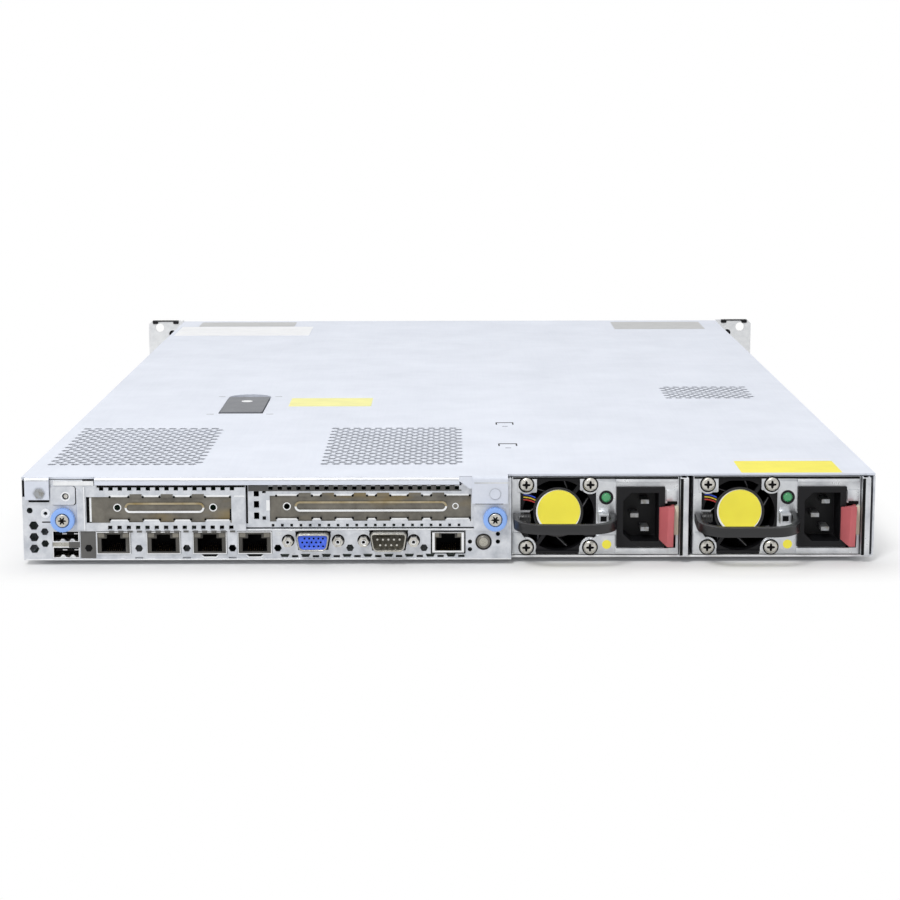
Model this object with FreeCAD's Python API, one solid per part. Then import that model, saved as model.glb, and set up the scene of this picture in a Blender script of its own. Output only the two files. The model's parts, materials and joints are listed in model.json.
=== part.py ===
import FreeCAD, Part

import math
import os

os.makedirs("parts", exist_ok=True)

Vector = FreeCAD.Vector
X_AXIS = Vector(1, 0, 0)
Y_AXIS = Vector(0, 1, 0)
Z_AXIS = Vector(0, 0, 1)

# All sizes are in millimetres, seen from behind the server:
# x runs to the right, y runs from the rear panel to the front, z runs up from the underside.

# Whole server
CHASSIS_WIDTH = 426.2
CHASSIS_LENGTH = 690.0
BODY_HEIGHT = 42.4
SHEET = 1.0
MOVE_GAP = 0.4
BEND = 1.4

LEFT = -CHASSIS_WIDTH / 2
RIGHT = CHASSIS_WIDTH / 2
FRONT = CHASSIS_LENGTH
COVER_UNDERSIDE = BODY_HEIGHT - SHEET
WALL_TOP = COVER_UNDERSIDE - MOVE_GAP

# Power supplies, side by side at the right of the rear face
PSU_WIDTH = 83.6
PSU_LENGTH = 190.0
PSU_SHEET = 0.6
PSU_PITCH = 90.8
PSU_RECESS = 5.0
PSU_RIGHT_SPACE = 7.4
BAY_POST_WIDTH = 4.2

PSU_LEFTS = [RIGHT - PSU_RIGHT_SPACE - PSU_WIDTH - PSU_PITCH, RIGHT - PSU_RIGHT_SPACE - PSU_WIDTH]
PSU_BOTTOM = SHEET + MOVE_GAP
PSU_TOP = COVER_UNDERSIDE - MOVE_GAP
PSU_MIDDLE = (PSU_BOTTOM + PSU_TOP) / 2
PSU_INNER = PSU_RECESS + SHEET
IO_RIGHT = PSU_LEFTS[0] - MOVE_GAP

# Fans: the same size in the power supplies and in the row across the chassis
FAN_DEPTH = 28.0
FAN_SIDE_GAP = 0.2
FAN_WALL = 0.9
FAN_SCREW_INSET = 3.0
FAN_HUB_RADIUS = 11.0
FAN_SHAFT_RADIUS = 1.5
FAN_BLADES = 7
ROTOR_TIP_GAP = 0.6
SHAFT_FIT = 0.06
STRUT_DEPTH = 3.0

FAN_SIZE = PSU_TOP - PSU_BOTTOM - 2 * (PSU_SHEET + FAN_SIDE_GAP)
FAN_BORE_RADIUS = FAN_SIZE / 2 - FAN_WALL
FAN_SCREW_OFFSET = FAN_SIZE / 2 - FAN_SCREW_INSET
PSU_FAN_OFFSET = 23.2

# Power supply face: handle, inlet, lamp and release latch, measured from the supply's left edge
HANDLE_WIDTH = 51.2
HANDLE_START = 0.6
HANDLE_REACH = 27.5
HANDLE_HEIGHT = 4.8
HANDLE_STRAP = 3.0
HANDLE_CORNER = 14.0
HANDLE_PIN_RADIUS = 1.2
HANDLE_PIN_OUT = 3.2
HANDLE_DROP = 0.5
LUG_WIDTH = 5.0
LUG_RADIUS = 2.2
LAMP_OFFSET = 47.2
LAMP_RISE = 9.4
LAMP_RADIUS = 2.4
LAMP_RING_RADIUS = 3.6
INLET_OFFSET = 64.5
INLET_DROP = 0.5
INLET_FLANGE = (24.2, 30.8, 2.0)
INLET_BODY = (20.6, 27.4, 24.0)
INLET_CAVITY = (17.6, 24.6, 16.5)
INLET_CHAMFER = 4.0
BLADE_SIZE = (4.0, 2.0)
BLADE_SPREAD = 7.0
BLADE_SET_IN = 3.0
LATCH_STEM = (79.8, 81.6)
LATCH_PADDLE = (73.6, 77.8)
LATCH_REACH = 8.2
LATCH_TOP_RISE = 5.6
LATCH_BOTTOM_DROP = 16.0
LATCH_PIVOT = (80.4, 42.0)
LATCH_EYE_RADIUS = 2.0
LATCH_PIN_RADIUS = 1.0
PIN_FIT = 0.06

# System board and the connectors along the rear panel, x measured from the left edge
BOARD_THICKNESS = 1.6
BOARD_STANDOFF = 0.6
BOARD_LENGTH = 470.0
BOARD_BOTTOM = SHEET + BOARD_STANDOFF
BOARD_TOP = BOARD_BOTTOM + BOARD_THICKNESS
STRIP_TOP = 15.8
USB_CENTRE = 21.3
USB_MOUTH = (12.5, 5.0)
USB_WALL = 0.4
USB_DEPTH = 17.0
USB_PITCH = 8.2
USB_SET_IN = 0.1
USB_FIT = 0.2
JACK_CENTRES = [45.1, 70.1, 93.2, 115.7, 212.4]
JACK_NOTCHED = [93.2, 115.7]
JACK_NOTCH = (8.6, 1.4)
JACK_SIZE = (17.0, 20.0, 11.4)
JACK_MOUTH = (12.2, 6.8)
JACK_KEY = (6.8, 2.0)
JACK_DEPTH = 14.0
VIDEO_CENTRE = 144.9
SERIAL_CENTRE = 182.7
DSUB_HEIGHT = 9.8
DSUB_SCREW_OFFSET = 12.5
VIDEO_SHELL = (16.9, 8.6)
SERIAL_SHELL = (18.6, 9.4)
SHELL_REACH = 5.8
SHELL_WALL = 0.6
VIDEO_SET_IN = 1.2
VIDEO_ROWS = [(5, 0.25), (5, -0.25), (5, 0.25)]
VIDEO_PITCH = (2.29, 1.98)
SERIAL_SET_IN = 5.0
SERIAL_ROWS = [(5, 0), (4, 0)]
SERIAL_PITCH = (2.76, 2.84)
CONTACT_RADIUS = 0.5
ID_BUTTON = (LEFT + 230.1, 9.1, 3.6)
BUTTON_TRAVEL = 1.2
HEX_VENT = 2.45
HEX_SMALL = 2.0

# Expansion cage: a proud low-profile face at the left, a recessed full-height face beside it
FACE_BOTTOM = 15.0
FACE_TOP = COVER_UNDERSIDE - 3.2
LOW_FACE = (LEFT + 14.6, LEFT + 111.5)
TALL_RIGHT = IO_RIGHT - 18.7
CAGE_FIT = 0.2
TALL_RECESS = 1.6
TALL_BOTTOM = STRIP_TOP + 0.5
WINDOW_HEIGHT = (19.2, 32.4)
LOW_WINDOW = (LEFT + 34.4, LEFT + 104.4)
TALL_WINDOW = (LEFT + 123.3, TALL_RIGHT - 1.4)
LOW_SLIT = 2.4
LOW_FOLD = (LEFT + 27.2, LEFT + 31.5)
FOLD_PROUD = 0.8
CAGE_TAB = (12.2, 28.6)
CAGE_PIN_HOLE = (LEFT + 22.0, 32.9, 1.6)
NOTCH = (5.4, 0.8)
SLOT_COVER_SHEET = 0.8
SLOT_COVER_LAP = 1.4
BEAD_HEIGHT = 26.8
BEAD_RADIUS = 2.6
BEAD_WALL = 1.1
CAGE_LENGTH = 140.0
SQUARE_HOLE = 2.2
SQUARE_PITCH = 4.65
THUMB_HEIGHT = 21.2
THUMB_CENTRES = [LEFT + 20.6, IO_RIGHT - 8.1]
THUMB_RADIUS = 6.1
THUMB_CORE_RADIUS = 3.3
THUMB_LENGTH = 4.0
THUMB_SHANK_RADIUS = 1.9
THUMB_FIT = 0.4

# Sliding access panel over the rear of the chassis and its lift latch
COVER_FRONT = 560.0
COVER_OVERHANG = 2.6
COVER_SET_BACK = 5.6
LIP_BOTTOM = 38.6
LEFT_TAB = (LEFT + 1.8, LEFT + 13.9, 31.2)
RIGHT_TAB = (IO_RIGHT - 19.7, IO_RIGHT - 1.7, 28.9)
REAR_LIP = (LEFT + 36.6, IO_RIGHT - 25.9, LIP_BOTTOM)
VENT_PITCH = 6.0
VENT_AREAS = [
    ((LEFT + 6.0, LEFT + 86.0), (33.0, 157.0)),
    ((LEFT + 146.0, LEFT + 219.6), (33.0, 157.0)),
    ((RIGHT - 81.4, RIGHT - 24.0), (262.0, 319.0)),
]
GUIDE_POSITIONS = [240.0, 390.0, 530.0]
GUIDE_SIZE = (12.0, 6.0)
PAN_CENTRE = LEFT + 90.0
PAN_REAR = 205.5
PAN_FRONT = 283.5
PAN_DEPTH = 7.0
LEVER_WIDTH = 25.0
LEVER_SIDE_GAP = 0.6
LEVER_REAR = 207.5
LEVER_FRONT = 268.5
LEVER_THICKNESS = 3.0
LEVER_RISE = 0.6
LEVER_AXIS = (211.0, 1.8)
LEVER_EYE_RADIUS = 2.4
LEVER_PIN_RADIUS = 1.2

# Front: rack ears, drive bays, control panel
EAR_SPAN = 482.6
EAR_HEIGHT = 43.2
EAR_SHEET = 2.0
EAR_LEG = 45.0
EAR_CHAMFER = 3.0
RACK_HOLE_SPAN = 465.1
RACK_HOLE_RISE = 31.75
RACK_HOLE_RADIUS = 3.4
LATCH_HOLE = (RIGHT + 9.3, 32.6, 2.8)
EAR_LEVER_WIDTH = 12.0
EAR_LEVER_PIVOT = (4.2, 11.0)
EAR_LEVER_TOP = 36.0
EAR_PIN_RADIUS = 1.2
STUD_POSITIONS = [70.0, 250.0, 430.0, 600.0]
STUD_SHANK = (2.5, 2.0)
STUD_HEAD = (4.0, 1.4)
CAGE_SHEET = 0.8
CARRIER_WIDTH = 76.0
CARRIER_LENGTH = 125.0
BEZEL_DEPTH = 8.0
DISK_LENGTH = 100.0
RAIL_WIDTH = 2.9
DRIVE_COLUMNS = 2
DRIVE_ROWS = 2
DRIVE_LEVER = (60.0, 11.0, 3.4)
DRIVE_LEVER_EYE = 1.7
DRIVE_PIN_RADIUS = 0.8

BAY_WIDTH = CARRIER_WIDTH + 2 * MOVE_GAP
BAY_HEIGHT = (COVER_UNDERSIDE - SHEET - (DRIVE_ROWS + 1) * CAGE_SHEET) / DRIVE_ROWS
CARRIER_HEIGHT = BAY_HEIGHT - 2 * MOVE_GAP
CAGE_RIGHT = RIGHT - SHEET
CAGE_LEFT = CAGE_RIGHT - DRIVE_COLUMNS * BAY_WIDTH - (DRIVE_COLUMNS + 1) * CAGE_SHEET
FRONT_PANEL_DEPTH = 4.0
POWER_BUTTON = (LEFT + 74.0, 29.0, 5.6)
FRONT_USB_CENTRES = [LEFT + 26.0, LEFT + 46.0]
FRONT_USB_HEIGHT = 21.0

# Inside: fan row, processors, memory
FAN_ROW = 500.0
FAN_CENTRES = [-158.0, -106.0, -54.0, -2.0]
FAN_MIDDLE = SHEET + FAN_SIZE / 2
PROCESSOR_CENTRES = [-62.0, 62.0]
PROCESSOR_Y = 330.0
HEAT_SINK = (82.0, 86.0, 26.0)
SOCKET_HEIGHT = 6.0
MEMORY_LENGTH = 133.0
MEMORY_HEIGHT = 24.0
MEMORY_PITCH = 9.4


def span(middle, width):
    """Limits of a width about its middle."""
    return (middle - width / 2, middle + width / 2)


def box(x_limits, y_limits, z_limits):
    """Block between three pairs of limits."""
    corner = Vector(x_limits[0], y_limits[0], z_limits[0])
    sizes = [limits[1] - limits[0] for limits in (x_limits, y_limits, z_limits)]
    return Part.makeBox(*sizes, corner)


def rod(start, axis, radius, length):
    """Round bar from a start point along an axis."""
    return Part.makeCylinder(radius, length, Vector(*start), axis)


def on_plan(z):
    """Place flat outlines on a level plane."""
    return lambda u, v: Vector(u, v, z)


def on_wall(y):
    """Place flat outlines on an upright plane that faces the rear."""
    return lambda u, v: Vector(u, y, v)


def rectangle(u_limits, v_limits):
    """Corner points of a rectangle, anticlockwise."""
    (u0, u1), (v0, v1) = u_limits, v_limits
    return [(u0, v0), (u1, v0), (u1, v1), (u0, v1)]


def hexagon(u, v, radius):
    """Corner points of a hexagon with a corner to the side, anticlockwise."""
    angles = [math.radians(60 * step) for step in range(6)]
    return [(u + radius * math.cos(a), v + radius * math.sin(a)) for a in angles]


def outline_wire(points, place):
    """Closed wire through flat points."""
    corners = [place(u, v) for u, v in points]
    return Part.makePolygon(corners + corners[:1])


def sheet(points, place, push, cut_outs=(), round_holes=()):
    """Flat sheet from an anticlockwise outline with cut-outs and round holes, pushed to its thickness."""
    normal = (place(1, 0) - place(0, 0)).cross(place(0, 1) - place(0, 0))
    wires = [outline_wire(points, place)]
    for hole in cut_outs:
        wires.append(outline_wire(list(reversed(hole)), place))
    for u, v, radius in round_holes:
        wires.append(Part.Wire(Part.makeCircle(radius, place(u, v), normal * -1)))
    return Part.Face(wires).extrude(push)


def edges_along(shape, axis):
    """Straight edges of a shape that run along an axis."""
    found = []
    for edge in shape.Edges:
        if isinstance(edge.Curve, Part.Line) and abs(edge.tangentAt(edge.FirstParameter).dot(axis)) > 0.999:
            found.append(edge)
    return found


def round_along(shape, axis, radius):
    """Shape with its straight edges along one axis rounded."""
    return shape.makeFillet(radius, edges_along(shape, axis))


def obround(x_limits, y_limits, z, radius):
    """Bar with round ends, long in x, seen from behind."""
    centres = (x_limits[0] + radius, x_limits[1] - radius)
    middle = box(centres, y_limits, span(z, 2 * radius))
    depth = y_limits[1] - y_limits[0]
    ends = [rod((x, y_limits[0], z), Y_AXIS, radius, depth) for x in centres]
    return middle.multiFuse(ends).removeSplitter()


def hex_grid(u_limits, v_limits, pitch, radius):
    """Staggered hexagon holes that fill an area."""
    row_pitch = pitch * math.sqrt(3) / 2
    rows = int((v_limits[1] - v_limits[0]) / row_pitch)
    columns = int((u_limits[1] - u_limits[0]) / pitch)
    holes = []
    for row in range(rows):
        shift = pitch / 2 if row % 2 else 0
        for column in range(columns):
            u = u_limits[0] + pitch / 2 + column * pitch + shift
            holes.append(hexagon(u, v_limits[0] + (row + 0.5) * row_pitch, radius))
    return holes


def square_row(first, last, v, size=SQUARE_HOLE, pitch=SQUARE_PITCH):
    """Row of small square holes between two limits."""
    count = int((last - first) / pitch)
    return [rectangle(span(first + (step + 0.5) * pitch, size), span(v, size)) for step in range(count)]


# Chassis

def chassis_tray():
    """Folded base with both side walls, board standoffs and rail studs."""
    profile = [
        (LEFT, 0), (RIGHT, 0), (RIGHT, WALL_TOP), (RIGHT - SHEET, WALL_TOP),
        (RIGHT - SHEET, SHEET), (LEFT + SHEET, SHEET), (LEFT + SHEET, WALL_TOP), (LEFT, WALL_TOP),
    ]
    tray = sheet(profile, on_wall(SHEET), Y_AXIS * (CHASSIS_LENGTH - SHEET))
    lower = [e for e in edges_along(tray, Y_AXIS) if e.CenterOfMass.z < 0.01]
    tray = tray.makeFillet(BEND, lower)
    tray = tray.cut(box((IO_RIGHT, RIGHT + 1), (0, PSU_RECESS), (-1, BODY_HEIGHT)))
    added = []
    for x in (-190.0, -60.0, 20.0):
        for y in (30.0, 180.0, 300.0, 440.0):
            added.append(rod((x, y, SHEET / 2), Z_AXIS, 3.0, BOARD_BOTTOM - SHEET / 2))
    for y in STUD_POSITIONS:
        for side in (-1, 1):
            wall = side * RIGHT
            axis = X_AXIS * side
            root = (wall - side * SHEET / 2, y, BODY_HEIGHT / 2)
            head = (wall + side * STUD_SHANK[1], y, BODY_HEIGHT / 2)
            added.append(rod(root, axis, STUD_SHANK[0], STUD_SHANK[1] + SHEET / 2))
            added.append(rod(head, axis, STUD_HEAD[0], STUD_HEAD[1]))
    return tray.multiFuse(added)


def d_outline(middle, height, size, slant=1.4):
    """Corner points of a D-shaped connector, wide side up."""
    half_width = size[0] / 2
    bottom, top = span(height, size[1])
    return [
        (middle - half_width + slant, bottom), (middle + half_width - slant, bottom),
        (middle + half_width, top), (middle - half_width, top),
    ]


def d_prism(middle, size, start, end):
    """Block of D-shaped section between two places in y."""
    return sheet(d_outline(middle, DSUB_HEIGHT, size), on_wall(start), Y_AXIS * (end - start))


def jack_cut_out(centre):
    """Corner points of the panel opening of a network socket, some with a half-moon notch below."""
    first, last = span(LEFT + centre, JACK_SIZE[0] + MOVE_GAP)
    lower = [(first, BOARD_TOP)]
    if centre in JACK_NOTCHED:
        for step in range(9):
            angle = math.pi * step / 8
            x = LEFT + centre - JACK_NOTCH[0] / 2 * math.cos(angle)
            lower.append((x, BOARD_TOP - JACK_NOTCH[1] * math.sin(angle)))
    return lower + [(last, BOARD_TOP), (last, STRIP_TOP - 1.0), (first, STRIP_TOP - 1.0)]


def usb_heights():
    """Mouth centres of the stacked pair above the chassis floor."""
    low = SHEET + USB_SET_IN + USB_WALL + USB_MOUTH[1] / 2
    return (low, low + USB_PITCH)


def usb_opening(middle, heights):
    """Corner points of the panel opening around a stack of mouths."""
    margin = USB_WALL + USB_FIT
    x_limits = span(middle, USB_MOUTH[0] + 2 * margin)
    low = min(heights) - USB_MOUTH[1] / 2 - margin
    high = max(heights) + USB_MOUTH[1] / 2 + margin
    return rectangle(x_limits, (low, high))


def rear_io_panel():
    """Rear wall of the chassis left of the supplies, cut for vents and connectors and open for the cage."""
    left_column = LEFT + 30.3
    right_column = TALL_RIGHT + SHEET + CAGE_FIT
    outline = [
        (LEFT, 0), (IO_RIGHT, 0), (IO_RIGHT, WALL_TOP), (right_column, WALL_TOP), (right_column, STRIP_TOP),
        (left_column, STRIP_TOP), (left_column, WALL_TOP), (LEFT, WALL_TOP),
    ]
    cut_outs = [hexagon(LEFT + 5.4, z, HEX_VENT) for z in (5.9, 11.8, 17.7)]
    cut_outs += [hexagon(LEFT + 10.8, z, HEX_SMALL) for z in (8.5, 14.6)]
    cut_outs += [hexagon(LEFT + d, 6.0, HEX_SMALL) for d in (57.7, 81.6, 104.5, 127.2, 163.3, 200.3)]
    cut_outs += [rectangle(span(LEFT + d, 4.0), (0.7, 1.5)) for d in (57.7, 81.6, 104.5)]
    cut_outs.append(usb_opening(LEFT + USB_CENTRE, usb_heights()))
    cut_outs += [jack_cut_out(centre) for centre in JACK_CENTRES]
    for step in range(9):
        first = LEFT + 130.6 + step * 10.4
        cut_outs.append([(first - 1.6, 1.4), (first + 1.6, 1.4), (first + 2.4, 3.0), (first - 2.4, 3.0)])
        cut_outs.append(rectangle(span(first + 5.2, 3.2), (1.2, 2.4)))
    for centre, size in ((VIDEO_CENTRE, VIDEO_SHELL), (SERIAL_CENTRE, SERIAL_SHELL)):
        wide = (size[0] + 1.0, size[1] + 1.0)
        cut_outs.append(d_outline(LEFT + centre, DSUB_HEIGHT, wide))
    round_holes = [(x, THUMB_HEIGHT, THUMB_SHANK_RADIUS + THUMB_FIT) for x in THUMB_CENTRES]
    for centre in (VIDEO_CENTRE, SERIAL_CENTRE):
        for side in (-1, 1):
            round_holes.append((LEFT + centre + side * DSUB_SCREW_OFFSET, DSUB_HEIGHT, 1.8))
    round_holes.append((ID_BUTTON[0], ID_BUTTON[1], ID_BUTTON[2] + 0.3))
    round_holes += [(LEFT + 223.3, z, 1.1) for z in (9.1, 5.2)]
    round_holes += [(LEFT + 237.3, z, 1.1) for z in (13.0, 9.1)]
    round_holes += [(LEFT + 3.6, 25.4, 1.5), (LEFT + 11.5, 23.9, 0.9)]
    round_holes.append(CAGE_PIN_HOLE)
    return sheet(outline, on_wall(0), Y_AXIS * SHEET, cut_outs, round_holes)


def psu_bay_frame():
    """Wall beside the supplies and the two folded posts that guide them."""
    bay_end = PSU_RECESS + PSU_LENGTH + 14
    wall = box((IO_RIGHT - SHEET, IO_RIGHT), (SHEET, bay_end), (SHEET, WALL_TOP))
    pieces = [wall]
    for left in PSU_LEFTS:
        start = left + PSU_WIDTH + MOVE_GAP
        end = start + BAY_POST_WIDTH
        post = box((start, end), (PSU_RECESS - 4, bay_end), (SHEET, WALL_TOP))
        hollow = box((start + SHEET, end - SHEET), (PSU_RECESS - 3, bay_end + 1), (0, BODY_HEIGHT))
        pieces.append(post.cut(hollow))
    return Part.makeCompound(pieces)


def front_top_plate():
    """Fixed roof over the drive bays with a flange inside each side wall."""
    rear_edge = COVER_FRONT + MOVE_GAP
    roof = box((LEFT, RIGHT), (rear_edge, FRONT), (COVER_UNDERSIDE, BODY_HEIGHT))
    flange = (COVER_UNDERSIDE - 8.0, COVER_UNDERSIDE)
    left_flange = box((LEFT + SHEET, LEFT + 2 * SHEET), (rear_edge, FRONT - FRONT_PANEL_DEPTH), flange)
    return roof.fuse(left_flange).removeSplitter()


# Rear connectors

def usb_stack(middle, front_y, facing, mouths):
    """Shell with socket mouths and a contact tongue in each; facing is the direction the mouths look."""
    y_limits = sorted((front_y, front_y - facing * USB_DEPTH))
    low = min(mouths) - USB_MOUTH[1] / 2 - USB_WALL
    high = max(mouths) + USB_MOUTH[1] / 2 + USB_WALL
    shell = box(span(middle, USB_MOUTH[0] + 2 * USB_WALL), y_limits, (low, high))
    for height in mouths:
        reach = sorted((front_y + facing, front_y - facing * (USB_DEPTH - 4)))
        shell = shell.cut(box(span(middle, USB_MOUTH[0]), reach, span(height, USB_MOUTH[1])))
        tongue_reach = sorted((front_y - facing * 1.5, front_y - facing * (USB_DEPTH - 3)))
        shell = shell.fuse(box(span(middle, 11.0), tongue_reach, (height + 0.3, height + 2.0)))
    return shell.removeSplitter()


def usb_ports():
    """Stacked pair in the rear panel and two single ports in the front panel."""
    pieces = [usb_stack(LEFT + USB_CENTRE, USB_SET_IN, -1, usb_heights())]
    for middle in FRONT_USB_CENTRES:
        pieces.append(usb_stack(middle, FRONT - USB_SET_IN, 1, [FRONT_USB_HEIGHT]))
    return Part.makeCompound(pieces)


def network_jack(middle):
    """One shielded network socket with a keyed mouth."""
    width, depth, height = JACK_SIZE
    body = box(span(middle, width), (-MOVE_GAP, depth), (BOARD_TOP, BOARD_TOP + height))
    floor = BOARD_TOP + 1.2
    mouth = box(span(middle, JACK_MOUTH[0]), (-1, JACK_DEPTH), (floor, floor + JACK_MOUTH[1]))
    key = box(span(middle, JACK_KEY[0]), (-1, JACK_DEPTH), (floor, floor + JACK_MOUTH[1] + JACK_KEY[1]))
    return body.cut(mouth.fuse(key))


def network_jacks():
    """Four data sockets and one management socket, all alike."""
    return Part.makeCompound([network_jack(LEFT + centre) for centre in JACK_CENTRES])


def contact_places(middle, rows, pitch):
    """Places of connector contacts in rows from the top; each row has a count and a shift in pitches."""
    places = []
    for row, (count, shift) in enumerate(rows):
        z = DSUB_HEIGHT + ((len(rows) - 1) / 2 - row) * pitch[1]
        for step in range(count):
            places.append((middle + (step - (count - 1) / 2 + shift) * pitch[0], z))
    return places


def d_shell(middle, size):
    """Metal shell with its flange and the two hex jackscrews."""
    flange_y = SHEET + 0.2
    flange = box(span(middle, 31.0), (flange_y, 13.0), (BOARD_TOP, STRIP_TOP - 0.4))
    outer = d_prism(middle, size, -SHELL_REACH, flange_y)
    inner_size = (size[0] - 2 * SHELL_WALL, size[1] - 2 * SHELL_WALL)
    hollow = d_prism(middle, inner_size, -SHELL_REACH - 1, flange_y)
    pieces = [flange.fuse(outer.cut(hollow)).removeSplitter()]
    for side in (-1, 1):
        x = middle + side * DSUB_SCREW_OFFSET
        nut = sheet(hexagon(x, DSUB_HEIGHT, 2.75), on_wall(-4.8), Y_AXIS * 4.8)
        shank = rod((x, 0, DSUB_HEIGHT), Y_AXIS, 1.5, flange_y)
        bore = rod((x, -5, DSUB_HEIGHT), Y_AXIS, 1.3, 4)
        pieces.append(nut.fuse(shank).cut(bore))
    return pieces


def d_insert(middle, size, set_in):
    """Plastic block that fills a D shell behind a recess."""
    margin = 2 * SHELL_WALL + 0.2
    return d_prism(middle, (size[0] - margin, size[1] - margin), set_in - SHELL_REACH, SHEET + 0.2)


def video_port():
    """Connector with fifteen contact holes in three rows."""
    middle = LEFT + VIDEO_CENTRE
    insert = d_insert(middle, VIDEO_SHELL, VIDEO_SET_IN)
    for x, z in contact_places(middle, VIDEO_ROWS, VIDEO_PITCH):
        insert = insert.cut(rod((x, -SHELL_REACH, z), Y_AXIS, CONTACT_RADIUS, 5.0))
    return Part.makeCompound(d_shell(middle, VIDEO_SHELL) + [insert])


def serial_port():
    """Connector with nine contact pins in two rows at the bottom of its shell."""
    middle = LEFT + SERIAL_CENTRE
    insert = d_insert(middle, SERIAL_SHELL, SERIAL_SET_IN)
    pins = [rod((x, 1.0 - SHELL_REACH, z), Y_AXIS, CONTACT_RADIUS, SERIAL_SET_IN)
            for x, z in contact_places(middle, SERIAL_ROWS, SERIAL_PITCH)]
    insert = insert.multiFuse(pins).removeSplitter()
    return Part.makeCompound(d_shell(middle, SERIAL_SHELL) + [insert])


def push_button(x, z, radius, outer_y, facing, panel_back):
    """Round button with a collar behind its panel; facing is the direction it looks."""
    inner_y = panel_back - facing * (MOVE_GAP + 3.0)
    cap = rod((x, outer_y, z), Y_AXIS * -facing, radius, abs(inner_y - outer_y))
    collar = rod((x, panel_back - facing * MOVE_GAP, z), Y_AXIS * -facing, radius + 1.2, 1.0)
    return cap.fuse(collar).removeSplitter()


# Expansion cage

def slot_window(x_limits, notches):
    """Corner points of a slot opening with notches along both long edges, anticlockwise."""
    low, high = WINDOW_HEIGHT
    lower = [(x_limits[0], low)]
    upper = [(x_limits[1], high)]
    for middle in notches:
        first, last = span(middle, NOTCH[0])
        lower += [(first, low), (first, low - NOTCH[1]), (last, low - NOTCH[1]), (last, low)]
    for middle in reversed(notches):
        first, last = span(middle, NOTCH[0])
        upper += [(last, high), (last, high + NOTCH[1]), (first, high + NOTCH[1]), (first, high)]
    return lower + [(x_limits[1], low)] + upper + [(x_limits[0], high)]


def low_face():
    """Proud face of the cage with its slot opening, a folded rib, a raised pad and a fixing tab."""
    window = (LOW_WINDOW[0] - LOW_SLIT, LOW_WINDOW[1])
    notches = [LOW_WINDOW[0] + d for d in (16.5, 32.0, 47.5)]
    holes = [slot_window(window, notches)]
    holes += square_row(LOW_WINDOW[0] + 3, LOW_FACE[1] - 4, FACE_TOP - 1.5)
    holes += square_row(LOW_WINDOW[0] + 7, LOW_FACE[1] - 1, FACE_BOTTOM + 1.7)
    screw_hole = (THUMB_CENTRES[0], THUMB_HEIGHT, THUMB_SHANK_RADIUS + THUMB_FIT)
    outline = rectangle(LOW_FACE, (FACE_BOTTOM, FACE_TOP))
    face = sheet(outline, on_wall(-SHEET), Y_AXIS * SHEET, holes, [screw_hole, CAGE_PIN_HOLE])
    tab = box((LOW_FACE[0], LOW_FACE[0] + CAGE_TAB[0]), (-2 * SHEET, -SHEET), (CAGE_TAB[1], FACE_TOP - 0.2))
    tab = round_along(tab, Y_AXIS, 1.5)
    tab = tab.cut(rod((CAGE_PIN_HOLE[0], -3, CAGE_PIN_HOLE[1]), Y_AXIS, CAGE_PIN_HOLE[2], 3))
    fold = box(LOW_FOLD, (-SHEET - FOLD_PROUD, -SHEET), (FACE_BOTTOM + 1.0, FACE_TOP - 2.2))
    pad_limits = (LOW_WINDOW[1] + 0.8, LOW_FACE[1] - 0.4)
    pad = box(pad_limits, (-SHEET - 0.6, -SHEET), WINDOW_HEIGHT)
    return face.multiFuse([tab, round_along(fold, Z_AXIS, 0.3), round_along(pad, Y_AXIS, 1.0)])


def tall_face(spine_left):
    """Recessed face of the cage with its slot opening and rows of small holes."""
    notches = [TALL_WINDOW[0] + 16.0 + pair * 27.5 + d for pair in range(3) for d in (0, 11.6)]
    holes = [slot_window(TALL_WINDOW, notches)]
    holes += square_row(spine_left + 11, TALL_RIGHT - 2, FACE_TOP - 1.8)
    holes += square_row(spine_left + 12, TALL_RIGHT - 2, TALL_BOTTOM + 1.0, 1.4)
    holes += [rectangle(span(spine_left + 6.2, 2.6), span(z, 3.4)) for z in (33.7, 28.0, 22.2)]
    holes += [rectangle(span(spine_left + 10.0, 1.8), span(z, 1.8)) for z in (34.6, 21.0)]
    outline = rectangle((spine_left, TALL_RIGHT + SHEET), (TALL_BOTTOM, FACE_TOP))
    return sheet(outline, on_wall(TALL_RECESS), Y_AXIS * SHEET, holes)


def cage_roof(spine_left):
    """Open frame over both slots that stiffens the cage."""
    limits = (LOW_WINDOW[0] - 2, TALL_RIGHT + SHEET)
    open_y = (14, CAGE_LENGTH - 10)
    openings = [rectangle((limits[0] + 8, spine_left - 6), open_y)]
    openings.append(rectangle((spine_left + 8, limits[1] - 8), open_y))
    level = FACE_TOP - SHEET
    roof = sheet(rectangle(limits, (TALL_RECESS, CAGE_LENGTH)), on_plan(level), Z_AXIS * SHEET, openings)
    return roof.fuse(box((limits[0], spine_left + SHEET), (0, TALL_RECESS), (level, FACE_TOP)))


def riser_cage():
    """Expansion cage: two faces with slot openings, a fixing ear, a roof and a spine between the slots."""
    spine_left = LOW_FACE[1] - SHEET
    spine = box((spine_left, spine_left + SHEET), (-SHEET, CAGE_LENGTH), (TALL_BOTTOM, FACE_TOP))
    step_limits = (TALL_RIGHT, TALL_RIGHT + SHEET)
    right_step = box(step_limits, (-SHEET, TALL_RECESS + SHEET), (TALL_BOTTOM, FACE_TOP))
    ear_outline = rectangle((TALL_RIGHT, IO_RIGHT - 1.3), (FACE_BOTTOM, FACE_TOP - 2))
    screw_hole = (THUMB_CENTRES[1], THUMB_HEIGHT, THUMB_SHANK_RADIUS + THUMB_FIT)
    ear = sheet(ear_outline, on_wall(-SHEET), Y_AXIS * SHEET, (), [screw_hole])
    pieces = [tall_face(spine_left), spine, right_step, ear, cage_roof(spine_left)]
    return low_face().multiFuse(pieces).removeSplitter()


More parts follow.
